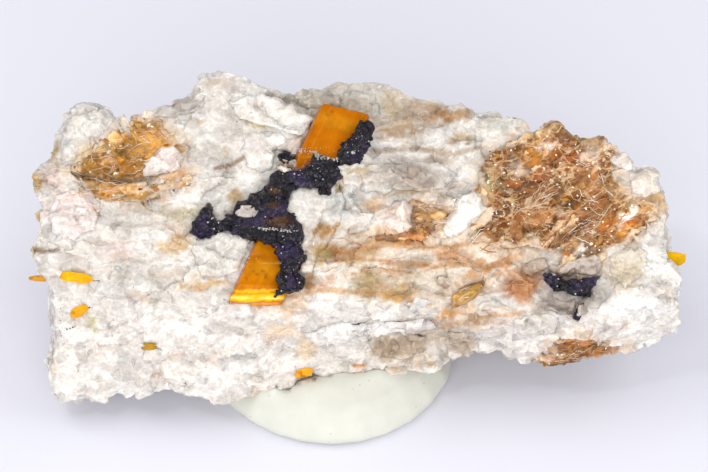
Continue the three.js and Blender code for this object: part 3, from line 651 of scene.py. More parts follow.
def quartz_grains(block):
    """Grains over the whole block, coloured as the block is, and none on the embedded crystals"""
    random = np.random.default_rng(31)
    at, normals = block.scatter(1300, random)
    _, distance = nearest_on(tree_of(*EMBEDDED), from_show(at), 3.0)
    clear = (distance > 0.55) & (cloud(at, 1.6, 171) > 0.35)
    at, normals, distance = at[clear], normals[clear], distance[clear]
    colours = quartz_colours(at, distance + 1.0)
    solids = []
    for place, normal, room, colour in zip(at, normals, distance, colours):
        large = random.random() < 0.14
        size = min(random.uniform(0.7, 1.5) if large else 0.18 + 0.4 * random.random() ** 2.5, 0.7 * room)
        shade = random.uniform(0.86, 1.06)
        tone = np.append(np.clip(colour[:3] * shade, 0, 1), 1.0)
        squash, sunk = (0.34, 0.78) if large else (0.5, 0.72)
        solids.append(grain(random, place, normal, size, tone, squash, sunk))
    for u, v, size, hex_colour in END_KNOBS:
        level, _ = block.height_at(u + size, v)
        out = np.array([-0.6, 0, 0.8])
        solids.append(grain(random, np.array([u, v, level - 0.8]), out, size, linear(hex_colour), 0.8, 0.1))
    return joined_mesh("quartz_grains", solids)


def top_of(surfaces, u, v):
    """How far towards the viewer the foremost surface stands at a spot of the show plane"""
    return max(surface.height_at(u, v)[0] for surface in surfaces)


def even_slab(outline, thickness, voxel_mm):
    """The points and faces of a flat slab of even small faces, from w = 0 up"""
    shape = bmesh.new()
    rings = [[shape.verts.new((u, v, w)) for u, v in outline] for w in (0, thickness)]
    shape.faces.new(rings[0])
    shape.faces.new(rings[1])
    for i in range(len(outline)):
        j = (i + 1) % len(outline)
        shape.faces.new((rings[0][i], rings[0][j], rings[1][j], rings[1][i]))
    bmesh.ops.recalc_face_normals(shape, faces=shape.faces)
    bmesh.ops.triangulate(shape, faces=shape.faces)
    prism = bpy.data.meshes.new("slab")
    shape.to_mesh(prism)
    shape.free()
    piece = new_piece("slab", prism)
    remesh = piece.modifiers.new("even", "REMESH")
    remesh.mode = "VOXEL"
    remesh.voxel_size = voxel_mm
    mesh = bpy.data.meshes.new_from_object(piece.evaluated_get(bpy.context.evaluated_depsgraph_get()))
    bpy.data.objects.remove(piece)
    return read_points(mesh), [tuple(face.vertices) for face in mesh.polygons]


SLAB_MM = 2.0
LOBE_VOXEL_MM = 0.13
LOBE_DEPTH_MM = 0.7  # how far a lobe reaches into what it lies on
LARGEST_DROP_MM = 0.9  # a lobe doesn't hang further down than this at the rock's edge


def lobe(surfaces, outline, rise_mm, edge_mm, tilt, drop_mm):
    """The points and faces of a slab with rounded edges that lies over the surfaces inside an outline"""
    points, faces = even_slab(outline, SLAB_MM, LOBE_VOXEL_MM)
    middle = points[:, :2].mean(axis=0)
    into = np.clip(line_distance(points, list(outline) + [outline[0]]) / edge_mm, 0, 1)
    profile = np.sqrt(into * (2 - into))
    base = np.array([top_of(surfaces, u, v) for u, v, _ in points])
    base = np.maximum(base, np.median(base) - drop_mm)
    share = np.clip(points[:, 2] / SLAB_MM, 0, 1)
    lean = (points[:, :2] - middle) @ tilt
    points[:, 2] = base - LOBE_DEPTH_MM * (1 - share) + (rise_mm * profile + lean * into - 0.06) * share
    return points, faces


quartz_surface = Surface(quartz)
grains = new_piece("quartz_grains", quartz_grains(quartz_surface))
grains.data.materials.append(quartz.data.materials[0])
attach(grains, "root")


# The kyanite blade
# One straight orange crystal of kyanite, flat on both sides, with fine ridges along it and a bright
# bevelled foot. It lies in the show side, and the yoderite grew over its middle.


def orange_kyanite():
    """Orange kyanite, cleaved: glassy, lit from inside, with fine lengthwise ridges and darker streaks"""
    material, tree, place = new_material("orange_kyanite")
    tone = add_node(tree, "ShaderNodeAttribute", attribute_name="tone")
    streaks = add_node(tree, "ShaderNodeTexNoise", {"Vector": place, "Scale": per_mm(1.2), "Detail": 4.0})
    shade = add_node(tree, "ShaderNodeMapRange", {
        "Value": streaks.outputs["Fac"], "From Min": 0.3, "From Max": 0.7, "To Min": 0.8, "To Max": 1.1,
    })
    streaked = add_node(tree, "ShaderNodeVectorMath", {
        0: tone.outputs["Color"], "Scale": shade.outputs["Result"],
    }, operation="SCALE")
    pits = add_node(tree, "ShaderNodeTexNoise", {"Vector": place, "Scale": per_mm(0.25), "Detail": 3.0})
    bump = add_node(tree, "ShaderNodeBump", {
        "Height": pits.outputs["Fac"], "Strength": 0.35, "Distance": 0.00004,
    })
    finish_material(tree, {
        "Base Color": streaked.outputs["Vector"],
        "Roughness": 0.22,
        "Normal": bump.outputs["Normal"],
        "IOR": 1.72,
        "Specular Tint": linear(0xFFB040),
        "Subsurface Weight": 0.2,
        "Subsurface Radius": (1.0, 0.5, 0.08),
        "Subsurface Scale": 0.0005,
    })
    return material


BLADE_TOP = (-0.75, 9.1)
BLADE_FOOT = (-7.2, -4.9)
BLADE_ORANGE = 0xB46302
# Parts of the blade with their own colour: u, v, half length, half height, turn, colour, strength
BLADE_PATCHES = [
    (-1.2, 8.5, 1.9, 0.6, -14, 0xC98612, 0.6),
    (-1.0, 7.4, 1.0, 0.5, -12, 0xB86A02, 0.7),
    (-2.2, 6.6, 1.0, 0.9, -12, 0xC46E04, 0.8),
    (-3.0, 4.4, 0.9, 0.7, 0, 0xA85A0C, 0.9),
    (-4.3, 2.6, 1.2, 1.2, 0, 0x7A4A1A, 0.9),
    (-6.2, -0.6, 1.6, 0.9, 0, 0xCE8008, 0.7),
    (-6.5, -2.4, 1.5, 0.8, 0, 0xD08A10, 0.7),
    (-7.1, -3.2, 1.6, 0.5, 0, 0xC27404, 0.7),
    (-7.1, -4.0, 2.4, 0.16, 0, 0xF2B41C, 0.9),
    (-7.1, -4.5, 2.4, 0.3, 0, 0xFFCC20, 0.95),
    (-7.2, -5.05, 2.4, 0.2, 0, 0xF0960C, 0.9),
]


# Painted highlights along cleavage steps across the blade: how far up the show plane at its left edge, and
# how bright they flash
CLEAVE_HIGHLIGHTS = [(-4.5, 0.9), (-3.9, 0.35), (-1.95, 0.5), (-1.3, 0.12), (5.9, 0.15)]
CLEAVE_SLANT = 0.02


def narrowed(show, way, narrowing):
    """Draws the points in towards a crystal's middle line, the more the nearer they are to its ends"""
    middle = show.mean(axis=0)
    along = (show - middle)[:, :2] @ way
    line = middle + np.outer(along, np.append(way, 0))
    to_end = np.abs(along) / np.abs(along).max()
    return line + (show - line) * (1 - narrowing * ramp(to_end, 0.35, 1.0))[:, None]


def make_crystal(node, voxel_mm, ridge_way, ridge_mm, base, patches=(), cleave_highlights=(), narrowing=0.0):
    """A kyanite crystal with fine ridges that run along ridge_way on the show plane"""
    mesh = even_mesh(node, voxel_mm)
    show = to_show(read_points(mesh))
    normal = read_normals(mesh)
    way = np.array(ridge_way) / np.linalg.norm(ridge_way)
    turned = np.stack([show[:, :2] @ way / 14, show[:, :2] @ (-way[1], way[0]), show[:, 2] * 0.2], axis=1)
    ridges = cloud(turned, 0.3, 91) + 0.5 * cloud(turned, 0.12, 92) - 0.75
    chips, _ = facets(show, 0.7, 93)
    show = show + normal * (ridge_mm * ridges + 0.35 * ridge_mm * chips)[:, None]
    show = narrowed(show, way, narrowing)
    write_show(mesh, show)
    colours = np.tile(linear(base), (len(show), 1))
    colours = paint_patches(colours, show, patches, 0.1)
    # Painted highlights: pale lines along the cleavage steps, where they catch the light
    for level, brightness in cleave_highlights:
        away = np.abs(show[:, 1] - level + CLEAVE_SLANT * (show[:, 0] - BLADE_FOOT[0]))
        broken = ramp(cloud(show, 0.8, 95 + int(10 * level)), 0.3, 0.6)
        colours = paint(colours, brightness * broken * (1 - ramp(away, 0.02, 0.09)), 0xFFE08A)
    pits = ramp(cloud(show, 0.28, 96), 0.7, 0.82) * ramp(cloud(show, 1.6, 97), 0.35, 0.65)
    colours = paint(colours, 0.6 * pits, 0x8A4A08)
    mottle = 0.78 + 0.24 * cloud(turned, 0.25, 94) + 0.22 * cloud(show, 0.35, 98)
    colours[:, :3] *= mottle[:, None]
    write_tone(mesh, np.clip(colours, 0, 1))
    smooth_shaded(mesh)
    return mesh


orange = orange_kyanite()
blade_way = (BLADE_FOOT[0] - BLADE_TOP[0], BLADE_FOOT[1] - BLADE_TOP[1])
blade = new_piece("orange_blade", make_crystal(
    "kyanite_blade", 0.12, blade_way, 0.07, BLADE_ORANGE, BLADE_PATCHES, CLEAVE_HIGHLIGHTS))
blade.data.materials.append(orange)
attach(blade, "root")
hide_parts("kyanite_blade")


# The quartz over the blade
# Past the yoderite the quartz closes over the right side of the blade in one rounded lobe, so only the
# blade's two ends show.


def quartz_lobes(name, surfaces, forms, plain=0.0, drop_mm=LARGEST_DROP_MM):
    """Lobes of quartz, each an outline, rise, edge width, tilt and its own colour, or None for the rock's"""
    solids = []
    for outline, rise_mm, edge_mm, tilt, hex_colour in forms:
        points, faces = lobe(surfaces, outline, rise_mm, edge_mm, tilt, drop_mm)
        drawn_out = points * DRAWN_OUT
        lift = sum(height * facets(drawn_out, cell, salt)[0] for cell, height, salt in QUARTZ_FACETS[1:])
        points[:, 2] += (1 - plain) * lift
        warp_joins(points, np.full(len(points), 2.0))
        colours = quartz_colours(points, np.full(len(points), 5.0))
        if hex_colour is not None:
            into = line_distance(points, list(outline) + [outline[0]])
            streaky = 0.55 + 0.45 * cloud(points * (0.5, 1.5, 1.0), 0.6, 181)
            colours = paint(colours, streaky * ramp(into, -0.3, 0.7 * edge_mm), hex_colour)
        solids.append((points, faces, colours))
    return joined_mesh(name, solids, QUARTZ_CRISP_DEGREES)


OVER_BLADE = [
    (-5.2, 1.5), (-4.9, 2.8), (-4.1, 3.6), (-2.6, 3.9), (-2.0, 4.2), (-1.1, 4.3), (-0.6, 2.6), (-0.9, 0.8),
    (-1.9, -0.6), (-2.7, -1.5), (-3.2, -2.8), (-3.9, -2.8), (-3.9, -0.6), (-4.1, 0.6), (-4.6, 1.3),
]
blade_surface = Surface(blade)
cover = new_piece("quartz_over_blade", quartz_lobes(
    "quartz_over_blade", [quartz_surface, blade_surface], [(OVER_BLADE, 0.45, 0.45, (0, 0), None)]))
cover.data.materials.append(quartz.data.materials[0])
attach(cover, "root")


# The yoderite
# Dark purple crystals of yoderite grown into one lumpy glossy crust over the blade, with a grain beside it
# and two crystals in the smoky quartz at the lower right.


def purple_yoderite():
    """Yoderite: nearly black, with a violet glint off its small glassy faces, and painted glints of pale
    specks
    """
    material, tree, place = new_material("purple_yoderite")
    tone = add_node(tree, "ShaderNodeAttribute", attribute_name="tone")
    faces = add_node(tree, "ShaderNodeTexVoronoi", {"Vector": place, "Scale": per_mm(0.3)})
    face_pick = add_node(tree, "ShaderNodeSeparateColor", {"Color": faces.outputs["Color"]})
    shade = add_node(tree, "ShaderNodeMapRange", {
        "Value": face_pick.outputs["Red"], "To Min": 0.5, "To Max": 1.4,
    })
    shaded = add_node(tree, "ShaderNodeVectorMath", {
        0: tone.outputs["Color"], "Scale": shade.outputs["Result"],
    }, operation="SCALE")
    # Painted glints: pale specks a tenth of a millimetre across, painted where its small faces would catch
    # the light
    dust_and_glint_cells = add_node(tree, "ShaderNodeTexVoronoi", {"Vector": place, "Scale": per_mm(0.42)})
    glint_pick = add_node(tree, "ShaderNodeSeparateColor", {"Color": dust_and_glint_cells.outputs["Color"]})
    near_glint = add_node(tree, "ShaderNodeMapRange", {
        "Value": dust_and_glint_cells.outputs["Distance"], "From Min": 0.1, "From Max": 0.16, "To Min": 1.0, "To Max": 0.0,
    })
    few_glints = add_node(tree, "ShaderNodeMath", {0: glint_pick.outputs["Red"], 1: 0.6}, operation="GREATER_THAN")
    dust_and_glint_speck = add_node(tree, "ShaderNodeMath", {
        0: near_glint.outputs["Result"], 1: few_glints.outputs["Value"],
    }, operation="MULTIPLY")
    glinted = add_node(tree, "ShaderNodeMix", {
        "Factor": dust_and_glint_speck.outputs["Value"], "A": shaded.outputs["Vector"], "B": linear(0xC8C4CC),
    }, data_type="RGBA")
    finish_material(tree, {
        "Base Color": glinted.outputs["Result"],
        "Roughness": 0.2,
        "Normal": glinting_normal(tree, place, 0.2, 0.6).outputs["Vector"],
        "IOR": 1.69,
        "Specular IOR Level": 0.17,
    })
    return material


SWELL_MM = 0.07
YODERITE_BLACK = 0x17131B
YODERITE_VIOLET = 0x302346
# Brown spots where the kyanite shows through the crust
SHOWING_THROUGH = [
    (-5.8, 3.3, 0.4, 0.25, 0, 0x64441A, 0.7),
    (-5.8, 2.3, 0.5, 0.3, 0, 0x4C3214, 0.75),
    (-5.5, 1.1, 1.1, 0.4, 0, 0x46290F, 0.85),
    (-3.9, 5.4, 0.8, 0.45, 20, 0xB4640A, 0.95),
]


def make_yoderite(node, voxel_mm, lump_mm):
    mesh = even_mesh(node, voxel_mm)
    points = read_points(mesh)
    _, quartz_distance = nearest_on(tree_of("quartz_matrix"), points, 1.0)
    show = to_show(points)
    normal = read_normals(mesh)
    warp_joins(show, np.full(len(show), 2.0))
    big, pick = facets(show, 1.1, 101)
    small, _ = facets(show, 0.45, 111)
    show = show + normal * (SWELL_MM + 0.8 * lump_mm * big + 0.5 * lump_mm * small)[:, None]
    write_show(mesh, show)
    colours = np.tile(linear(YODERITE_BLACK), (len(show), 1))
    violet = ramp(cloud(show, 1.1, 121) + 0.4 * pick, 0.7, 1.1)
    colours = paint(colours, 0.6 * violet, YODERITE_VIOLET)
    colours = paint_patches(colours, show, SHOWING_THROUGH, 0.15)
    rim = 1 - ramp(quartz_distance - 0.25 * cloud(show, 0.4, 122), 0.05, 0.2)
    colours = paint(colours, 0.25 * rim, 0x9C8C80)
    write_tone(mesh, colours)
    smooth_shaded(mesh, 25)
    return mesh


yoderite = purple_yoderite()
YODERITE_PIECES = {
    "yoderite_crust": ("yoderite_over_blade", 0.11, 0.22),
    "yoderite_right": ("yoderite_in_smoky_quartz", 0.08, 0.14),
    "yoderite_right_chip": ("yoderite_chip", 0.07, 0.1),
    "yoderite_grain": ("yoderite_small_grain", 0.07, 0.1),
}
yoderite_crystals = []
for node, (name, voxel_mm, lump_mm) in YODERITE_PIECES.items():
    crystal = new_piece(name, make_yoderite(node, voxel_mm, lump_mm))
    crystal.data.materials.append(yoderite)
    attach(crystal, "root")
    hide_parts(node)
    yoderite_crystals.append(crystal)


# The crumbs of quartz on the blade
# A row of white crumbs marks where the yoderite begins on the blade, and a thin vein of quartz crosses
# the yoderite lower down. Small bits of quartz fill a window in the crust and the gap by its small grain.

# Each row: the points it follows, number of crumbs, spread and size in mm
CRUMB_ROWS = [
    ([(-4.2, 6.4), (-3.0, 6.2), (-2.5, 5.8), (-1.0, 5.6)], 110, 0.09, 0.11),
    ([(-4.3, 5.9), (-1.6, 6.2)], 26, 0.4, 0.06),
    ([(-6.9, 0.6), (-6.3, 0.45), (-5.6, 0.55), (-4.8, 0.35), (-4.0, 0.4)], 70, 0.05, 0.09),
    ([(-7.4, -1.0), (-8.3, -2.6)], 12, 0.2, 0.08),
    ([(-0.4, 6.2), (0.4, 6.4)], 8, 0.12, 0.14),
    ([(-10.1, 1.6), (-9.7, 1.3)], 30, 0.2, 0.14),
    ([(-3.4, -1.3), (-3.6, -1.0)], 12, 0.12, 0.09),
    ([(-1.9, 5.0), (-4.6, 4.4)], 16, 0.5, 0.06),
    ([(0.9, 7.6), (-0.4, 6.6)], 8, 0.2, 0.06),
    ([(-4.4, -0.6), (-4.4, -3.2)], 12, 0.3, 0.06),
]


def crumbs(surfaces):
    random = np.random.default_rng(19)
    solids = []
    for line, count, spread, size in CRUMB_ROWS:
        line = np.array(line)
        for share in random.uniform(0, len(line) - 1, count):
            u, v = [np.interp(share, range(len(line)), line[:, axis]) for axis in range(2)]
            u, v = u + random.normal(0, spread), v + random.normal(0, spread)
            place = np.array([u, v, top_of(surfaces, u, v)])
            if place[2] < OFF_THE_ROCK_MM:
                continue
            shade = random.uniform(0.8, 1.0)
            tone = np.array(linear(0xF6EEE6)) * (shade, shade, shade, 1)
            crumb_size = size * random.uniform(0.6, 1.3)
            solids.append(grain(random, place, np.array([0, 0, 1.0]), crumb_size, tone, 0.5, 0.3))
    return joined_mesh("quartz_crumbs", solids)


# Quartz in a window of the yoderite, and between its small grain and the blade
WINDOW = [(-8.7, 1.8), (-8.2, 2.3), (-7.3, 2.2), (-6.9, 1.75), (-7.3, 1.3), (-8.1, 1.25)]
BESIDE_GRAIN = [
    (-5.4, 7.0), (-3.7, 7.3), (-3.9, 6.6), (-4.3, 5.6), (-4.6, 4.9), (-5.1, 4.6), (-5.8, 4.8), (-5.9, 5.3),
    (-5.1, 5.2), (-4.85, 5.8), (-5.1, 6.3), (-5.7, 6.5),
]
bits = new_piece("quartz_bits", quartz_lobes(
    "quartz_bits", [quartz_surface, Surface(yoderite_crystals[0])],
    [(WINDOW, 0.1, 0.3, (0, 0), 0xC4B8B0), (BESIDE_GRAIN, 0.3, 0.3, (0, 0), 0xCBBCAE)], drop_mm=0.3))
bits.data.materials.append(quartz.data.materials[0])
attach(bits, "root")
# A sliver of quartz between the small grain and the blade's edge
SLIVER = [(-5.6, 5.45), (-4.6, 5.5), (-4.1, 5.7), (-4.1, 5.2), (-4.4, 4.8), (-5.4, 4.6), (-5.7, 5.0)]
sliver = new_piece("quartz_sliver", quartz_lobes(
    "quartz_sliver", [quartz_surface, blade_surface, *[Surface(piece) for piece in yoderite_crystals]],
    [(SLIVER, 0.15, 0.2, (0, 0), 0xBCA68E)], drop_mm=0.3))
sliver.data.materials.append(quartz.data.materials[0])
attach(sliver, "root")
crumbed_surfaces = [blade_surface] + [Surface(piece) for piece in yoderite_crystals]
crumb_pieces = new_piece("quartz_crumbs", crumbs(crumbed_surfaces))
crumb_pieces.data.materials.append(quartz.data.materials[0])
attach(crumb_pieces, "root")


# The dark specks
# Grains of yoderite a tenth or two of a millimetre across are scattered in the quartz, most of them at its
# left end.

# Each speck: u, v and size in mm
DARK_SPECKS = [
    (-21.45, -5.27, 0.09), (-21.3, -5.8, 0.08), (-21.5, -6.14, 0.1), (-21.6, -6.95, 0.08),
    (-21.5, -7.34, 0.09), (-21.05, -6.83, 0.12), (-20.85, -6.78, 0.13), (-20.62, -6.72, 0.12),
    (-20.45, -6.66, 0.09),
    (-19.3, -5.2, 0.14), (-19.15, -5.25, 0.09), (-16.0, -3.7, 0.07), (-10.9, -9.7, 0.07), (11.0, -8.3, 0.11),
    (11.2, -8.2, 0.09), (13.6, -6.7, 0.08), (-8.7, 8.5, 0.07), (-20.3, -9.9, 0.08), (3.7, -5.0, 0.07),
    (22.6, -0.6, 0.08), (22.7, -3.4, 0.09), (10.1, 6.3, 0.09), (-3.2, 10.3, 0.07),
]


def dark_specks():
    random = np.random.default_rng(29)
    solids = []
    for u, v, size in DARK_SPECKS:
        level, normal = quartz_surface.height_at(u, v)
        if level > OFF_THE_ROCK_MM:
            place = np.array([u, v, level])
            solids.append(grain(random, place, normal, size, linear(YODERITE_BLACK), 0.6, 0.2))
    return joined_mesh("dark_specks", solids)


specks = new_piece("dark_specks", dark_specks())
specks.data.materials.append(yoderite)
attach(specks, "root")


# The small kyanites
# Yellow crystals of kyanite a millimetre or two long, set flush in the quartz or standing out of its ends.

SMALL_KYANITES = {
    "kyanite_left_upper": ((1, -0.14), 0xEEAA18),
    "kyanite_left_lower": ((1, 0.6), 0xE39C18),
    "kyanite_front": ((1, 0), 0xA8842C),
    "kyanite_bottom": ((1, 0.25), 0xE59C22),
    "kyanite_left_end": ((1, 0), 0xC98E30),
    "kyanite_right_end": ((1, 0.2), 0xE6B20C),
}
FRONT_NARROWING, SMALL_NARROWING = 0.1, 0.45
for node, (ridge_way, colour) in SMALL_KYANITES.items():
    narrowing = FRONT_NARROWING if node == "kyanite_front" else SMALL_NARROWING
    crystal = new_piece(node.replace("kyanite", "yellow_kyanite"), make_crystal(
        node, 0.07, ridge_way, 0.08, colour, narrowing=narrowing))
    crystal.data.materials.append(orange)
    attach(crystal, "root")
    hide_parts(node)


# The mica
# Golden to amber mica in thin flakes that lie in stacks, with torn pale edges and fine fibres across them.


def torn_net(tree, place, turn, width):
    """A net of thin pale lines, the torn edges of flakes that lie along turn degrees"""
    bends = add_node(tree, "ShaderNodeTexNoise", {"Vector": place, "Scale": per_mm(0.9), "Detail": 3.0})
    bend = add_node(tree, "ShaderNodeVectorMath", {0: bends.outputs["Color"], "Scale": 0.0011},
                    operation="SCALE")
    bent = add_node(tree, "ShaderNodeVectorMath", {0: place, 1: bend.outputs["Vector"]}, operation="ADD")
    lying = Matrix.Rotation(LOOK_DOWN, 3, "X") @ Matrix.Rotation(math.radians(turn), 3, "Z")
    drawn_out = add_node(tree, "ShaderNodeMapping", {
        "Vector": bent.outputs["Vector"], "Rotation": lying.to_euler(), "Scale": (2.6, 1.0, 1.3),
    }, vector_type="TEXTURE")
    cells = add_node(tree, "ShaderNodeTexVoronoi", {
        "Vector": drawn_out.outputs["Vector"], "Scale": per_mm(0.95),
    }, feature="DISTANCE_TO_EDGE")
    return add_node(tree, "ShaderNodeMapRange", {
        "Value": cells.outputs["Distance"], "From Min": 0.2 * width, "From Max": width,
        "To Min": 1.0, "To Max": 0.0,
    })


def golden_mica(name, net_strength):
    """Phlogopite mica: pearly flakes that pass amber light, flash pale where an edge is torn and carry
    painted glints
    """
    material, tree, place = new_material(name)
    tone = add_node(tree, "ShaderNodeAttribute", attribute_name="tone")
    flakes = add_node(tree, "ShaderNodeTexVoronoi", {"Vector": place, "Scale": per_mm(0.5)})
    flake_pick = add_node(tree, "ShaderNodeSeparateColor", {"Color": flakes.outputs["Color"]})
    shade = add_node(tree, "ShaderNodeMapRange", {
        "Value": flake_pick.outputs["Red"], "To Min": 0.75, "To Max": 1.2,
    })
    shaded = add_node(tree, "ShaderNodeVectorMath", {
        0: tone.outputs["Color"], "Scale": shade.outputs["Result"],
    }, operation="SCALE")
    one_way, other_way = torn_net(tree, place, 27, 0.075), torn_net(tree, place, -32, 0.06)
    both = add_node(tree, "ShaderNodeMath", {
        0: one_way.outputs["Result"], 1: other_way.outputs["Result"],
    }, operation="MAXIMUM")
    parts = add_node(tree, "ShaderNodeTexNoise", {"Vector": place, "Scale": per_mm(1.6), "Detail": 2.0})
    part = add_node(tree, "ShaderNodeMapRange", {
        "Value": parts.outputs["Fac"], "From Min": 0.4, "From Max": 0.6, "To Min": 0.15 * net_strength,
        "To Max": net_strength,
    })
    net = add_node(tree, "ShaderNodeMath", {0: both.outputs["Value"], 1: part.outputs["Result"]},
                   operation="MULTIPLY")
    netted = add_node(tree, "ShaderNodeMix", {
        "Factor": net.outputs["Value"], "A": shaded.outputs["Vector"], "B": linear(0xE4BE92),
    }, data_type="RGBA")
    # Painted glints: flecks a tenth of a millimetre across are painted nearly white, where they would catch
    # the light
    glint_flecks = add_node(tree, "ShaderNodeTexVoronoi", {"Vector": place, "Scale": per_mm(0.3)})
    glint_fleck_pick = add_node(tree, "ShaderNodeSeparateColor", {"Color": glint_flecks.outputs["Color"]})
    glint_wobble = add_node(tree, "ShaderNodeTexNoise", {"Vector": place, "Scale": per_mm(0.14), "Detail": 2.0})
    uneven_glint = add_node(tree, "ShaderNodeMath", {0: glint_flecks.outputs["Distance"], 1: glint_wobble.outputs["Fac"]},
                      operation="ADD")
    near_glint = add_node(tree, "ShaderNodeMapRange", {
        "Value": uneven_glint.outputs["Value"], "From Min": 0.66, "From Max": 0.78, "To Min": 1.0, "To Max": 0.0,
    })
    few_glints = add_node(tree, "ShaderNodeMath", {
        0: glint_fleck_pick.outputs["Red"], 1: 1.0 - 0.3 * net_strength,
    }, operation="GREATER_THAN")
    glint_fleck = add_node(tree, "ShaderNodeMath", {
        0: near_glint.outputs["Result"], 1: few_glints.outputs["Value"],
    }, operation="MULTIPLY")
    glint_flecked = add_node(tree, "ShaderNodeMix", {
        "Factor": glint_fleck.outputs["Value"], "A": netted.outputs["Result"], "B": linear(0xFFF2E4),
    }, data_type="RGBA")
    rough = add_node(tree, "ShaderNodeMapRange", {
        "Value": flake_pick.outputs["Green"], "To Min": 0.2, "To Max": 0.5,
    })
    finish_material(tree, {
        "Base Color": glint_flecked.outputs["Result"],
        "Roughness": rough.outputs["Result"],
        "Normal": glinting_normal(tree, place, 0.35, 0.7).outputs["Vector"],
        "IOR": 1.58,
        "Specular Tint": linear(0xFFE0B8),
        "Subsurface Weight": 0.25,
        "Subsurface Radius": (1.0, 0.55, 0.2),
        "Subsurface Scale": 0.0006,
    })
    return material


MICA_AMBER = 0x8A5428
MICA_PALE = 0xF0D6B0
QUARTZ_CREAM = 0xE9DAC6
# Parts of the mica with their own colour: u, v, half length, half height, turn, colour, strength
MICA_PATCHES = [
    (-16.5, 5.6, 5.5, 4.0, 0, 0xBE8A3C, 1.0),
    (-17.6, 6.0, 2.1, 1.6, -10, 0xC98A24, 0.9),  # golden lens of the left patch
    (-18.6, 6.9, 1.2, 0.9, 30, 0xD9B070, 0.7),
    (-17.0, 5.0, 1.7, 0.6, -8, 0xB87416, 0.8),
    (-15.0, 8.2, 1.8, 1.1, -20, 0xB3803E, 0.8),
    (-18.0, 3.3, 2.0, 0.5, -4, 0xBC8438, 0.85),
    (-14.6, 3.9, 2.0, 0.4, 8, 0xCFA064, 0.8),
    (13.8, 7.6, 1.5, 0.6, 5, 0xBC9058, 0.85),
    (17.5, 7.0, 1.9, 0.8, -25, 0xC49A70, 0.85),
    (15.7, 6.1, 1.2, 1.5, 0, 0x8E480C, 0.95),  # deep amber under the top of the right patch
    (13.5, 6.1, 1.5, 0.8, 5, 0xAA6A14, 0.9),
    (9.95, 3.9, 0.9, 1.3, 0, 0xA89668, 0.95),
    (14.2, 4.5, 1.3, 0.6, 15, 0x804420, 0.9),
    (11.5, 3.1, 1.1, 1.3, 0, 0x7E441A, 0.95),
    (16.1, 2.4, 1.8, 0.9, -12, 0x8E5216, 0.95),
    (19.4, 3.9, 1.0, 1.2, 0, 0xB8905C, 0.85),
    (13.8, 1.5, 1.5, 0.6, 20, 0xA06A38, 0.85),
    (10.6, 0.8, 1.3, 0.6, 10, 0x84522A, 0.95),
    (10.1, -0.4, 1.0, 0.6, 20, 0x8A5C34, 0.95),
    (12.8, 0.3, 1.3, 0.8, 0, 0x94602E, 0.9),
    (18.4, 0.9, 1.1, 0.6, 20, 0xAA641C, 0.9),
    (19.75, 0.6, 0.6, 0.35, 10, 0xAC560E, 0.9),
    (20.3, 0.1, 1.2, 0.5, 10, 0xC88422, 0.9),
    (21.0, 2.3, 1.5, 0.8, 10, 0xCC9A5C, 0.85),
    (17.1, -1.4, 1.2, 1.0, 0, 0x7C5E46, 0.95),
    (15.2, -1.0, 1.0, 1.0, 30, 0xB07A50, 0.85),
    (5.8, 1.6, 1.6, 0.9, -14, 0xB08650, 1.0),
    (5.0, -0.1, 1.7, 0.4, 3, 0xC87E34, 1.0),
    (8.2, -4.2, 1.6, 0.9, 25, 0xBA8C38, 1.0),
    (19.9, 1.5, 0.9, 0.35, 50, 0xF6ECE0, 0.9),  # pale tears in the right patch, and painted sheen where its flakes catch the light
    (16.7, -0.85, 0.6, 0.25, 35, 0xF2E8DE, 0.85),
    (14.4, 6.7, 0.6, 0.3, 0, 0xF2E8DE, 0.8),
    (12.1, 5.1, 1.0, 0.45, -30, 0xE6D0B8, 0.7),
    (17.4, 5.9, 0.9, 0.5, -20, 0xEAD6C4, 0.6),
    (16.9, -7.8, 0.9, 0.5, -30, 0xA2642A, 0.85),
    (14.2, -8.9, 0.9, 0.5, 20, 0x8E4A16, 0.85),
]


# Where the top of the right patch rises to a peak: u, v, width and rise in mm
MICA_PEAK = (15.05, 7.6, 0.9, 0.6)


def make_mica(node, voxel_mm, flake_mm, grain_way, rim_strength, swell_mm):
    """A patch of mica: low terraces drawn out along grain_way on the show plane, and a pale rim"""
    mesh = even_mesh(node, voxel_mm)
    points = read_points(mesh)
    _, quartz_distance = nearest_on(tree_of("quartz_matrix"), points, 2.0)
    _, kyanite_distance = nearest_on(tree_of(*KYANITES), points, 2.0)
    show = to_show(points)
    normal = read_normals(mesh)
    warp_joins(show, kyanite_distance)
    way = np.array(grain_way) / np.linalg.norm(grain_way)
    turned = np.stack([show[:, :2] @ way * 0.4, show[:, :2] @ (-way[1], way[0]), show[:, 2]], axis=1)
    wide, pick = facets(turned, 0.8, 131)
    fine, fine_pick = facets(turned, 0.33, 141)
    wrinkle = cloud(turned, 0.4, 151) - 0.5
    show = show + normal * (swell_mm + flake_mm * (wide + 0.45 * fine + 0.5 * wrinkle))[:, None]
    peak_u, peak_v, peak_width, peak_rise = MICA_PEAK
    near_peak = np.exp(-((show[:, 0] - peak_u) / peak_width) ** 2) * ramp(show[:, 1], peak_v - 1.2, peak_v)
    show[:, 1] += peak_rise * near_peak
    write_show(mesh, show)
    colours = np.tile(linear(MICA_AMBER), (len(show), 1))
    colours = paint_patches(colours, show, MICA_PATCHES, 0.4)
    torn = ramp(wide + 0.6 * fine, 0.35, 0.75)
    colours = paint(colours, (0.3 + 0.5 * rim_strength) * torn, MICA_PALE)
    colours[:, :3] *= (0.2 + 0.95 * pick + 0.42 * fine_pick)[:, None]
    rim = 1 - ramp(quartz_distance - 0.9 * cloud(show, 0.7, 152) ** 2, 0.15, 0.5)
    colours = paint(colours, rim_strength * rim, QUARTZ_CREAM)
    seam = 1 - ramp(line_distance(show, LEFT_SEAM), 0.08 + 0.12 * cloud(show, 0.4, 153), 0.3)
    colours = paint(colours, 0.85 * seam, 0x54463A)
    write_tone(mesh, np.clip(colours, 0, 1))
    smooth_shaded(mesh, 25)
    return mesh


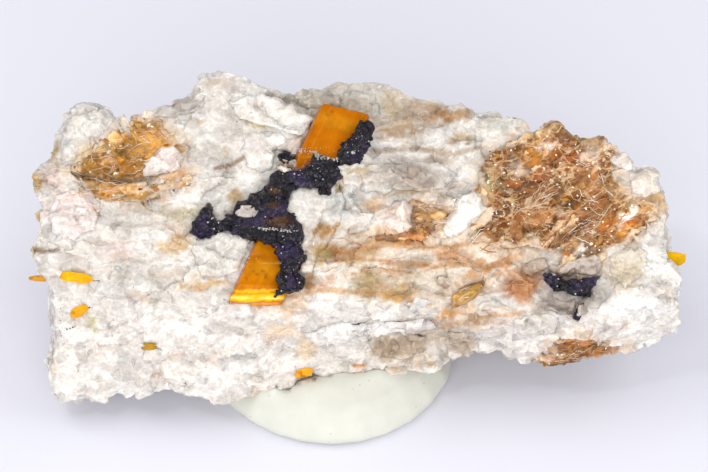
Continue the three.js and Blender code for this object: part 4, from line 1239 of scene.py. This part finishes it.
mica = golden_mica("golden_mica", 0.25)
netted_mica = golden_mica("netted_mica", 0.7)
MICA_PIECES = {
    "mica_left": ("mica_fan", 0.14, 0.2, (1, 0.1), 0.55, 0.0),
    "mica_right": ("mica_patch", 0.14, 0.22, (1, 0.5), 0.65, 0.0),
    "mica_middle": ("mica_in_the_middle", 0.12, 0.1, (1, -0.15), 0.1, 0.16),
    "mica_flake": ("mica_golden_flake", 0.1, 0.05, (1, 0.6), 0.05, 0.08),
    "mica_under_edge": ("mica_under_the_edge", 0.12, 0.2, (1, 0.2), 0.3, 0.05),
}
mica_pieces = []
for node, (name, *shape) in MICA_PIECES.items():
    piece = new_piece(name, make_mica(node, *shape))
    piece.data.materials.append(netted_mica if node == "mica_right" else mica)
    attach(piece, "root")
    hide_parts(node)
    mica_pieces.append(piece)


# The clear plates of quartz
# Where the quartz has no cracks in it, it is clear or tinted, and it broke into larger smooth plates and
# knobs with crisp edges. They lie on the block as the top layer of its show side.

crystal_surfaces = [Surface(piece) for piece in mica_pieces + yoderite_crystals]
# Each plate: outline (u, v), rise, width of its rounded edge, tilt along u and v, colour
CLEAR_PLATES = [
    # Knob at the upper left
    ([(-21.7, 8.7), (-21.1, 9.5), (-20.3, 9.7), (-19, 9.6), (-18.1, 9.2), (-17.6, 8.5), (-18.2, 7.8),
      (-19.1, 7.3), (-19.7, 6.3), (-20.7, 5.5), (-21.5, 5.5), (-21.7, 7)], 0.6, 1.3, (0, 0), 0xDEDAD3),
    # Egg under the yoderite
    ([(-11.4, -0.4), (-9.8, 0.3), (-8.3, 0), (-7.6, -0.4), (-7.9, -1.5), (-8.6, -2.5), (-9.8, -3), (-11,
      -2.9), (-11.6, -1.9), (-11.8, -0.8)], 0.4, 0.9, (0, 0), 0xDAD6CE),
    # Pink plate by the mica in the middle
    ([(2.2, 2.3), (3, 2.7), (3.9, 2.5), (4.4, 1.9), (4.3, 0.6), (3.5, 0.2), (2.6, 0.4), (2.1, 1)],
     0.35, 0.25, (0.1, 0.05), 0xF0DDD2),
    # Smoky blocks over the putty
    ([(1.1, -7.6), (1.8, -7.1), (3.4, -7.0), (5.6, -7.3), (5.2, -8.6), (4, -9.2), (2.3, -9.1), (1.5, -9)],
     0.25, 0.4, (0, 0), None),
    ([(7, -7), (9.3, -7), (9.2, -8.6), (7.1, -9.2), (6.9, -8)], 0.25, 0.3, (0, 0), None),
    # Brown plate and smoky plates round the lower right yoderite
    ([(12.3, -1.9), (14.2, -1.4), (14.4, -2.3), (12.9, -2.9), (12.3, -2.8)],
     0.3, 0.12, (0.05, 0.1), 0xA08468),
    ([(14.4, -2.1), (16.1, -1.8), (17.7, -1.5), (18.2, -2.1), (17.7, -2.9), (16, -3), (14.5, -2.9)],
     0.45, 0.25, (0, 0.05), 0xB5A294),
    ([(13.2, -4.7), (14.6, -4.4), (16.2, -4.9), (17.2, -4.3), (17, -5.4), (15.8, -5.9), (14, -5.5)],
     0.25, 0.35, (0, 0), 0xA89A8E),
    ([(11.6, -5.9), (13.6, -5.6), (15, -6), (14.9, -7.1), (13, -7.4), (11.6, -7)],
     0.25, 0.4, (0, 0), 0xD2CCC3),
    # Pale plates on the right border
    ([(18.9, 6), (19.9, 6.2), (20.9, 5.6), (20.8, 4.8), (19.5, 4.9)], 0.3, 0.2, (0, 0), 0xE9DCD2),
    ([(20.1, 4.6), (21.5, 4.8), (22.4, 4.7), (22.5, 3.4), (21.5, 2.9), (20.4, 3.2)],
     0.3, 0.2, (0.05, 0), 0xE9DDD0),
    ([(18.5, -1.6), (19.8, -0.7), (21.4, -0.9), (21.2, -2.6), (19.8, -3.9), (18.8, -3)],
     0.3, 0.45, (0, 0), 0xD6CAB4),
    # Long grey ledge right of the blade, and the layers under it
    ([(-1.2, 5), (1, 5.4), (3.6, 5.3), (6.2, 5.6), (7.6, 4.6), (6.6, 3.5), (3.8, 3.3), (1, 3.2), (-0.6, 3.8)],
     0.4, 0.6, (0, 0.12), None),
    ([(7.9, 3.4), (9.3, 3.2), (9.9, 1.9), (8.7, 0.9), (7, -0.3), (6.4, 0.5), (7.2, 1.9)],
     0.35, 0.4, (0, 0), 0xF1ECE6),
    ([(-3.9, -7.2), (-1.5, -6.4), (2.2, -6.2), (5.6, -6), (6.2, -6.8), (3.6, -7.2), (0.4, -7.6),
      (-2.6, -8.1)], 0.35, 0.5, (0, 0), 0xF2EEEA),
    ([(-3.3, 0.7), (-1.4, 1.9), (0.6, 2.3), (1.6, 1.7), (0.9, 0.4), (-1.2, -0.2), (-2.8, -0.4)],
     0.25, 0.5, (0, 0), 0xDCDAD6),
    # White plates left of the blade, the upper one with a straight edge against the grey block
    ([(-9.4, 9.9), (-6.7, 10.6), (-6.2, 10.4), (-3.0, 8.7), (-3.8, 7.2), (-5.4, 7.9), (-6.9, 8.2),
      (-8.5, 8.6)], 0.45, 0.25, (0.03, 0.08), 0xEFEBE5),
    ([(-8.1, 7.2), (-6.7, 7.8), (-5.3, 7.5), (-4.9, 6.7), (-5.9, 6.4), (-6.0, 5.1), (-6.8, 4.6), (-7.9, 5),
      (-8.2, 6.2)], 0.4, 0.3, (0, 0), 0xEDE9E4),
    ([(-14.8, 6.3), (-13.3, 6.6), (-12.4, 5.7), (-13.0, 4.9), (-14.6, 4.4), (-15.7, 4.4), (-15.6, 5.4)],
     0.35, 0.3, (0, 0), 0xEFDFD8),
    ([(-21.9, 3.2), (-19.4, 3.4), (-18.6, 2.2), (-18.8, 0.4), (-20.3, -0.4), (-22.1, 0.2), (-22.4, 1.6)],
     0.3, 0.6, (0, 0), 0xEFE0DB),
    # Grey wedge and set-back blocks along the top
    ([(-15.2, 9), (-14, 9.7), (-12, 10.2), (-10.9, 9.9), (-11.6, 9.2), (-13.4, 8.8)],
     0.2, 0.3, (0, 0), 0xB9B1A9),
    ([(-4.4, 10.1), (-2.4, 10.7), (-0.3, 10.9), (1.6, 10.7), (2, 9.6), (1.7, 8.9), (-1.8, 9.5), (-3.4, 9.5)],
     0.25, 0.6, (0, 0), None),
]
plates = new_piece("clear_quartz_plates", quartz_lobes(
    "clear_quartz_plates", [quartz_surface, *crystal_surfaces], CLEAR_PLATES, plain=0.6))
plates.data.materials.append(quartz.data.materials[0])
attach(plates, "root")


# The flakes and fibres of the mica
# Loose flakes a half millimetre across lie on the mica and glint, and fine pale fibres run over it in
# crossing bundles and on into the layers of the quartz.

FLAKE_COLOURS = [0xB87828, 0x9A5A1C, 0xC8934A, 0x8A4A18, 0xDDB884, 0xA86A3A, 0xEAD6B8]
FLAKES_ON = {"mica_patch": 260, "mica_fan": 170, "mica_in_the_middle": 60, "mica_under_the_edge": 90}


def mica_flakes():
    """Thin flat flakes, each tilted a little from the mica that it lies on"""
    random = np.random.default_rng(57)
    solids = []
    for piece in mica_pieces:
        if piece.name not in FLAKES_ON:
            continue
        at, normals = Surface(piece).scatter(FLAKES_ON[piece.name], random)
        outside = np.array([quartz_surface.height_at(u, v)[0] for u, v, _ in at]) < at[:, 2]
        for place, normal in zip(at[outside], normals[outside]):
            normal = normal + random.normal(0, 0.35, 3)
            normal /= np.linalg.norm(normal)
            size = random.uniform(0.15, 0.42)
            colour = linear(FLAKE_COLOURS[random.integers(len(FLAKE_COLOURS))])
            solids.append(grain(random, place + normal * 0.02, normal, size, colour, 0.09, 0.3))
    return joined_mesh("mica_flakes", solids)


flakes = new_piece("mica_flakes", mica_flakes())
flakes.data.materials.append(mica)
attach(flakes, "root")


def mica_fibre():
    """Torn edges and fibres of mica: pale, silky and a little see-through"""
    material, tree, _ = new_material("mica_fibre")
    tone = add_node(tree, "ShaderNodeAttribute", attribute_name="tone")
    finish_material(tree, {
        "Base Color": tone.outputs["Color"],
        "Roughness": 0.45,
        "IOR": 1.58,
        "Specular IOR Level": 0.3,
        "Subsurface Weight": 0.3,
        "Subsurface Radius": (1.0, 0.7, 0.45),
        "Subsurface Scale": 0.0003,
    })
    return material


FIBRE_COLOURS = [0xE2BA90, 0xC8965E, 0xD8AC90, 0xF4E2CC, 0xB47C40]
# Bundles of fibres: the line that they follow, how many, and their spread in mm
FIBRE_BUNDLES = [
    ([(11.7, 1.5), (13.6, 3.3), (16.0, 5.4)], 9, 0.25),
    ([(11.9, 1.6), (14.6, 3.2), (18.0, 4.5)], 10, 0.28),
    ([(11.9, 1.7), (13.9, 0.6), (16.5, 0.2)], 7, 0.25),
    ([(15.3, -0.1), (17.8, 1.2), (20.1, 2.8)], 12, 0.25),
    ([(15.3, -0.3), (17.2, 0.0), (19.0, 0.2)], 7, 0.2),
    ([(16.4, 3.2), (17.6, 2.5), (18.5, 2.0)], 7, 0.25),
    ([(8.0, -0.9), (9.3, 0.2), (10.3, 0.4), (11.7, 1.0)], 10, 0.15),
    ([(12.7, 6.8), (13.7, 6.6), (14.6, 6.5)], 7, 0.15),
    ([(10.6, 4.8), (11.6, 4.4), (12.5, 4.1)], 7, 0.2),
    ([(17.9, 4.6), (18.7, 3.4), (19.4, 2.6)], 7, 0.2),
    ([(18.6, 2.2), (20.6, 2.6), (22.4, 3.0)], 7, 0.2),
    ([(19.0, 0.6), (20.6, 1.5), (22.6, 2.0)], 8, 0.25),
    ([(10.1, 3.2), (10.6, 5.2), (11.8, 6.3)], 5, 0.12),
    ([(16.2, 5.4), (17.6, 5.2), (18.6, 6.2)], 6, 0.2),
    ([(-19.2, 5.9), (-18.9, 4.9), (-17.8, 4.2), (-16.2, 4.2)], 4, 0.08),
    ([(-18.9, 7.2), (-19.4, 6.2), (-19.1, 5.2)], 4, 0.1),
    ([(-16.3, 5.3), (-15.4, 6.0), (-14.4, 6.9)], 5, 0.08),
    ([(-17.0, 6.1), (-16.2, 5.7), (-15.3, 6.4)], 4, 0.06),
    ([(-22.6, 4.9), (-20.8, 4.8), (-18.4, 3.9), (-16.4, 3.9)], 6, 0.1),
    ([(-19.8, 3.4), (-18.0, 2.6), (-15.4, 2.6), (-14.0, 3.1)], 6, 0.1),
    ([(-20.2, 3.9), (-19.7, 2.7), (-18.8, 1.7), (-18.2, 1.3)], 5, 0.08),
    ([(4.6, 2.0), (5.8, 2.5), (7.2, 2.2)], 6, 0.15),
    ([(3.8, 0.6), (5.6, 0.9), (7.4, 1.3)], 6, 0.15),
    ([(9.0, -1.2), (11.0, -0.9), (13.6, -1.0)], 7, 0.2),
    ([(6.2, -5.2), (8.2, -4.4), (9.8, -3.9)], 6, 0.15),
    ([(13.8, -9.3), (16.4, -8.8), (19.2, -7.4)], 8, 0.12),
]
# Scattered fibres: middle and half size of the area, number, usual angle in degrees
FIBRE_AREAS = [
    ((14.5, 4.2), (3.8, 3.0), 24, 28),
    ((14.5, 3.8), (3.8, 3.0), 18, -28),
    ((18.6, 2.2), (3.0, 2.0), 20, 24),
    ((15.6, 0.2), (2.2, 1.6), 20, 62),
    ((11.6, 0.8), (1.6, 1.4), 14, -50),
    ((-17.4, 5.9), (1.9, 1.4), 26, 25),
    ((-15.0, 8.1), (1.7, 1.1), 22, -30),
    ((-18.0, 3.3), (2.2, 0.6), 24, 4),
    ((6.1, 1.5), (1.4, 0.9), 14, 12),
    ((7.0, -1.4), (4.5, 1.6), 18, 6),
    ((9.5, -4.4), (3.0, 1.4), 12, 10),
    ((0.0, -1.6), (2.6, 1.6), 14, 12),
    ((16.3, -8.4), (2.6, 0.8), 20, 14),
]
FIBRE_POINTS = 10
FIBRE_KINK_MM = 0.035
FIBRE_LOWEST_MM = -10  # a fibre that hangs lower has left the rock


def fibre(surfaces, path, half_width, colour):
    """A thin fibre laid over the surfaces along a path, tapered to both ends"""
    way = np.gradient(path, axis=0)
    way /= np.linalg.norm(way, axis=1)[:, None]
    taper = half_width * np.sin(np.linspace(0.15, math.pi - 0.15, len(path))) ** 0.6
    side = np.stack([-way[:, 1], way[:, 0]], axis=1) * taper[:, None]
    height = np.array([top_of(surfaces, u, v) for u, v in path])
    height = np.maximum(height, np.convolve(np.pad(height, 1, "edge"), [0.25, 0.5, 0.25], "valid")) + 0.02
    rings = []
    for spot, across, level, up in zip(path, side, height, taper):
        rings += [(*(spot - across), level), (*spot, level + up)]
        rings += [(*(spot + across), level), (*spot, level - up)]
    faces = [[3, 2, 1, 0], [len(rings) - 4 + corner for corner in range(4)]]
    for ring in range(0, len(rings) - 4, 4):
        for corner in range(4):
            after = (corner + 1) % 4
            faces.append([ring + corner, ring + after, ring + 4 + after, ring + 4 + corner])
    return np.array(rings), faces, linear(colour)


def fibre_along(surfaces, random, line, spread):
    """One fibre of a bundle: it starts and ends short of the line's ends and strays from it"""
    line = np.array(line)
    start = random.uniform(0, 0.6)
    end = start + random.uniform(0.2, 0.4)
    share = np.linspace(start, end, FIBRE_POINTS) * (len(line) - 1)
    path = np.stack([np.interp(share, range(len(line)), line[:, axis]) for axis in range(2)], axis=1)
    stray = np.linspace(random.normal(0, spread), random.normal(0, spread), FIBRE_POINTS)
    stray += 0.35 * spread * np.sin(share * random.uniform(3, 7) + random.uniform(0, 6))
    way = line[-1] - line[0]
    path += stray[:, None] * np.array([-way[1], way[0]]) / np.linalg.norm(way)
    path += random.normal(0, FIBRE_KINK_MM, path.shape)
    half_width = random.uniform(0.016, 0.044)
    return fibre(surfaces, path, half_width, FIBRE_COLOURS[random.integers(len(FIBRE_COLOURS))])


def loose_fibre(surfaces, random, middle, half_size, angle):
    """One short bent fibre somewhere in an area"""
    at = np.array(middle) + np.array(half_size) * random.uniform(-1, 1, 2)
    turn = math.radians(angle + random.normal(0, 14))
    length = random.uniform(0.4, 1.5)
    along = np.linspace(-0.5, 0.5, FIBRE_POINTS) * length
    bow = random.normal(0, 0.12) * length * (1 - (2 * along / length) ** 2)
    path = at + np.outer(along, [math.cos(turn), math.sin(turn)])
    path += np.outer(bow, [-math.sin(turn), math.cos(turn)])
    path += random.normal(0, FIBRE_KINK_MM, path.shape)
    half_width = random.uniform(0.014, 0.028)
    return fibre(surfaces, path, half_width, FIBRE_COLOURS[random.integers(len(FIBRE_COLOURS))])


def mica_fibres():
    random = np.random.default_rng(83)
    surfaces = [quartz_surface, Surface(plates), *crystal_surfaces]
    solids = [fibre_along(surfaces, random, line, spread)
              for line, count, spread in FIBRE_BUNDLES for _ in range(count)]
    solids += [loose_fibre(surfaces, random, middle, half_size, angle)
               for middle, half_size, count, angle in FIBRE_AREAS for _ in range(count)]
    whole = [solid for solid in solids if solid[0][:, 2].min() > FIBRE_LOWEST_MM]
    return joined_mesh("mica_fibres", whole, 180)


fibres = new_piece("mica_fibres", mica_fibres())
fibres.data.materials.append(mica_fibre())
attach(fibres, "root")


# The putty
# A pinch of cream putty, rolled and pressed flat by hand. The block was pushed into it, so it wraps the
# block's underside a little.


def cream_putty():
    """Mounting putty: matte and slightly greasy, with a faint skin of finger dents"""
    material, tree, place = new_material("cream_putty")
    dents = add_node(tree, "ShaderNodeTexNoise", {"Vector": place, "Scale": per_mm(1.6), "Detail": 3.0})
    pale = add_node(tree, "ShaderNodeMix", {
        "Factor": dents.outputs["Fac"], "A": linear(0xC8C9BC), "B": linear(0xD6D6CC),
    }, data_type="RGBA")
    # Specks of quartz dust stick to it
    dust_and_glint_cells = add_node(tree, "ShaderNodeTexVoronoi", {"Vector": place, "Scale": per_mm(0.9)})
    dust_and_glint_speck = add_node(tree, "ShaderNodeMapRange", {
        "Value": dust_and_glint_cells.outputs["Distance"], "From Min": 0.06, "From Max": 0.09, "To Min": 0.6, "To Max": 0.0,
    })
    colour = add_node(tree, "ShaderNodeMix", {
        "Factor": dust_and_glint_speck.outputs["Result"], "A": pale.outputs["Result"], "B": linear(0xA89C88),
    }, data_type="RGBA")
    skin = add_node(tree, "ShaderNodeTexNoise", {"Vector": place, "Scale": per_mm(0.35), "Detail": 2.0})
    bump = add_node(tree, "ShaderNodeBump", {
        "Height": skin.outputs["Fac"], "Strength": 0.25, "Distance": 0.00006,
    })
    finish_material(tree, {
        "Base Color": colour.outputs["Result"],
        "Roughness": 0.62,
        "Normal": bump.outputs["Normal"],
        "Subsurface Weight": 0.2,
        "Subsurface Radius": (1.0, 0.95, 0.8),
        "Subsurface Scale": 0.0008,
    })
    return material


def make_putty():
    mesh = even_mesh("putty_pad", 0.3)
    points = read_points(mesh)
    spots, distance = nearest_on(tree_of("quartz_matrix"), points, 1.0)
    pull = 1 - ramp(distance, 0.3, 0.5)
    points += (spots - points) * pull[:, None]
    show = to_show(points)
    free = ramp(points[:, 2] * 1000, 0.2, 1.0) * ramp(distance, 0.3, 1.0)
    dents = cloud(points * 1000, 3.0, 161) + 0.4 * cloud(points * 1000, 1.1, 162) - 0.7
    show += read_normals(mesh) * (0.35 * dents * free)[:, None]
    write_show(mesh, show)
    smooth_shaded(mesh)
    return mesh


putty = new_piece("putty", make_putty())
putty.data.materials.append(cream_putty())
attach(putty, "root")
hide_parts("putty_pad")


# The floor, the lights and the camera
# A plain pale floor, a broad soft light from the front, two from above on the left and the right, and a
# small one that makes glints.


def pale_floor():
    material, tree, _ = new_material("pale_floor")
    finish_material(tree, {"Base Color": linear(0xDFDFE8), "Roughness": 0.6})
    return material


floor_mesh = bpy.data.meshes.new("floor")
FLOOR_HALF = 1.5
corners = [(-FLOOR_HALF, -FLOOR_HALF, 0), (FLOOR_HALF, -FLOOR_HALF, 0)]
corners += [(FLOOR_HALF, FLOOR_HALF, 0), (-FLOOR_HALF, FLOOR_HALF, 0)]
floor_mesh.from_pydata(corners, [], [(0, 1, 2, 3)])
floor = new_piece("floor", floor_mesh)
floor.data.materials.append(pale_floor())

world = bpy.data.worlds.new("studio")
world.use_nodes = True
world.node_tree.nodes["Background"].inputs["Color"].default_value = linear(0xFBFBFF)
world.node_tree.nodes["Background"].inputs["Strength"].default_value = 0.61
bpy.context.scene.world = world

AIM = Vector(from_show([0, 0, 0]))


def add_light(name, place, size, power):
    data = bpy.data.lights.new(name, "AREA")
    data.size = size
    data.energy = power
    light = bpy.data.objects.new(name, data)
    light.location = Vector(place)
    light.rotation_euler = (AIM - light.location).to_track_quat("-Z", "Y").to_euler()
    bpy.context.scene.collection.objects.link(light)


add_light("key", (-0.2, 0.04, 0.34), 0.26, 0.36)
add_light("right", (0.27, 0.0, 0.26), 0.24, 0.31)
add_light("glints", (-0.13, -0.1, 0.3), 0.03, 0.09)
add_light("front", (-0.02, -0.36, 0.16), 0.4, 1.4)

PICTURE_WIDTH_PX = 708
MM_PER_PX = 0.0727
VIEW_WIDTH = PICTURE_WIDTH_PX * MM_PER_PX / 1000  # metres across the picture at the show plane
CAMERA_AWAY = 0.25
camera_data = bpy.data.cameras.new("camera")
camera_data.sensor_width = 36
camera_data.lens = camera_data.sensor_width * CAMERA_AWAY / VIEW_WIDTH
camera_data.clip_start = 0.01
camera = bpy.data.objects.new("camera", camera_data)
camera.location = Vector(from_show([0, 0, CAMERA_AWAY * 1000]))
camera.rotation_euler = (AIM - camera.location).to_track_quat("-Z", "Y").to_euler()
bpy.context.scene.collection.objects.link(camera)
bpy.context.scene.camera = camera
bpy.context.scene.view_settings.view_transform = "Standard"
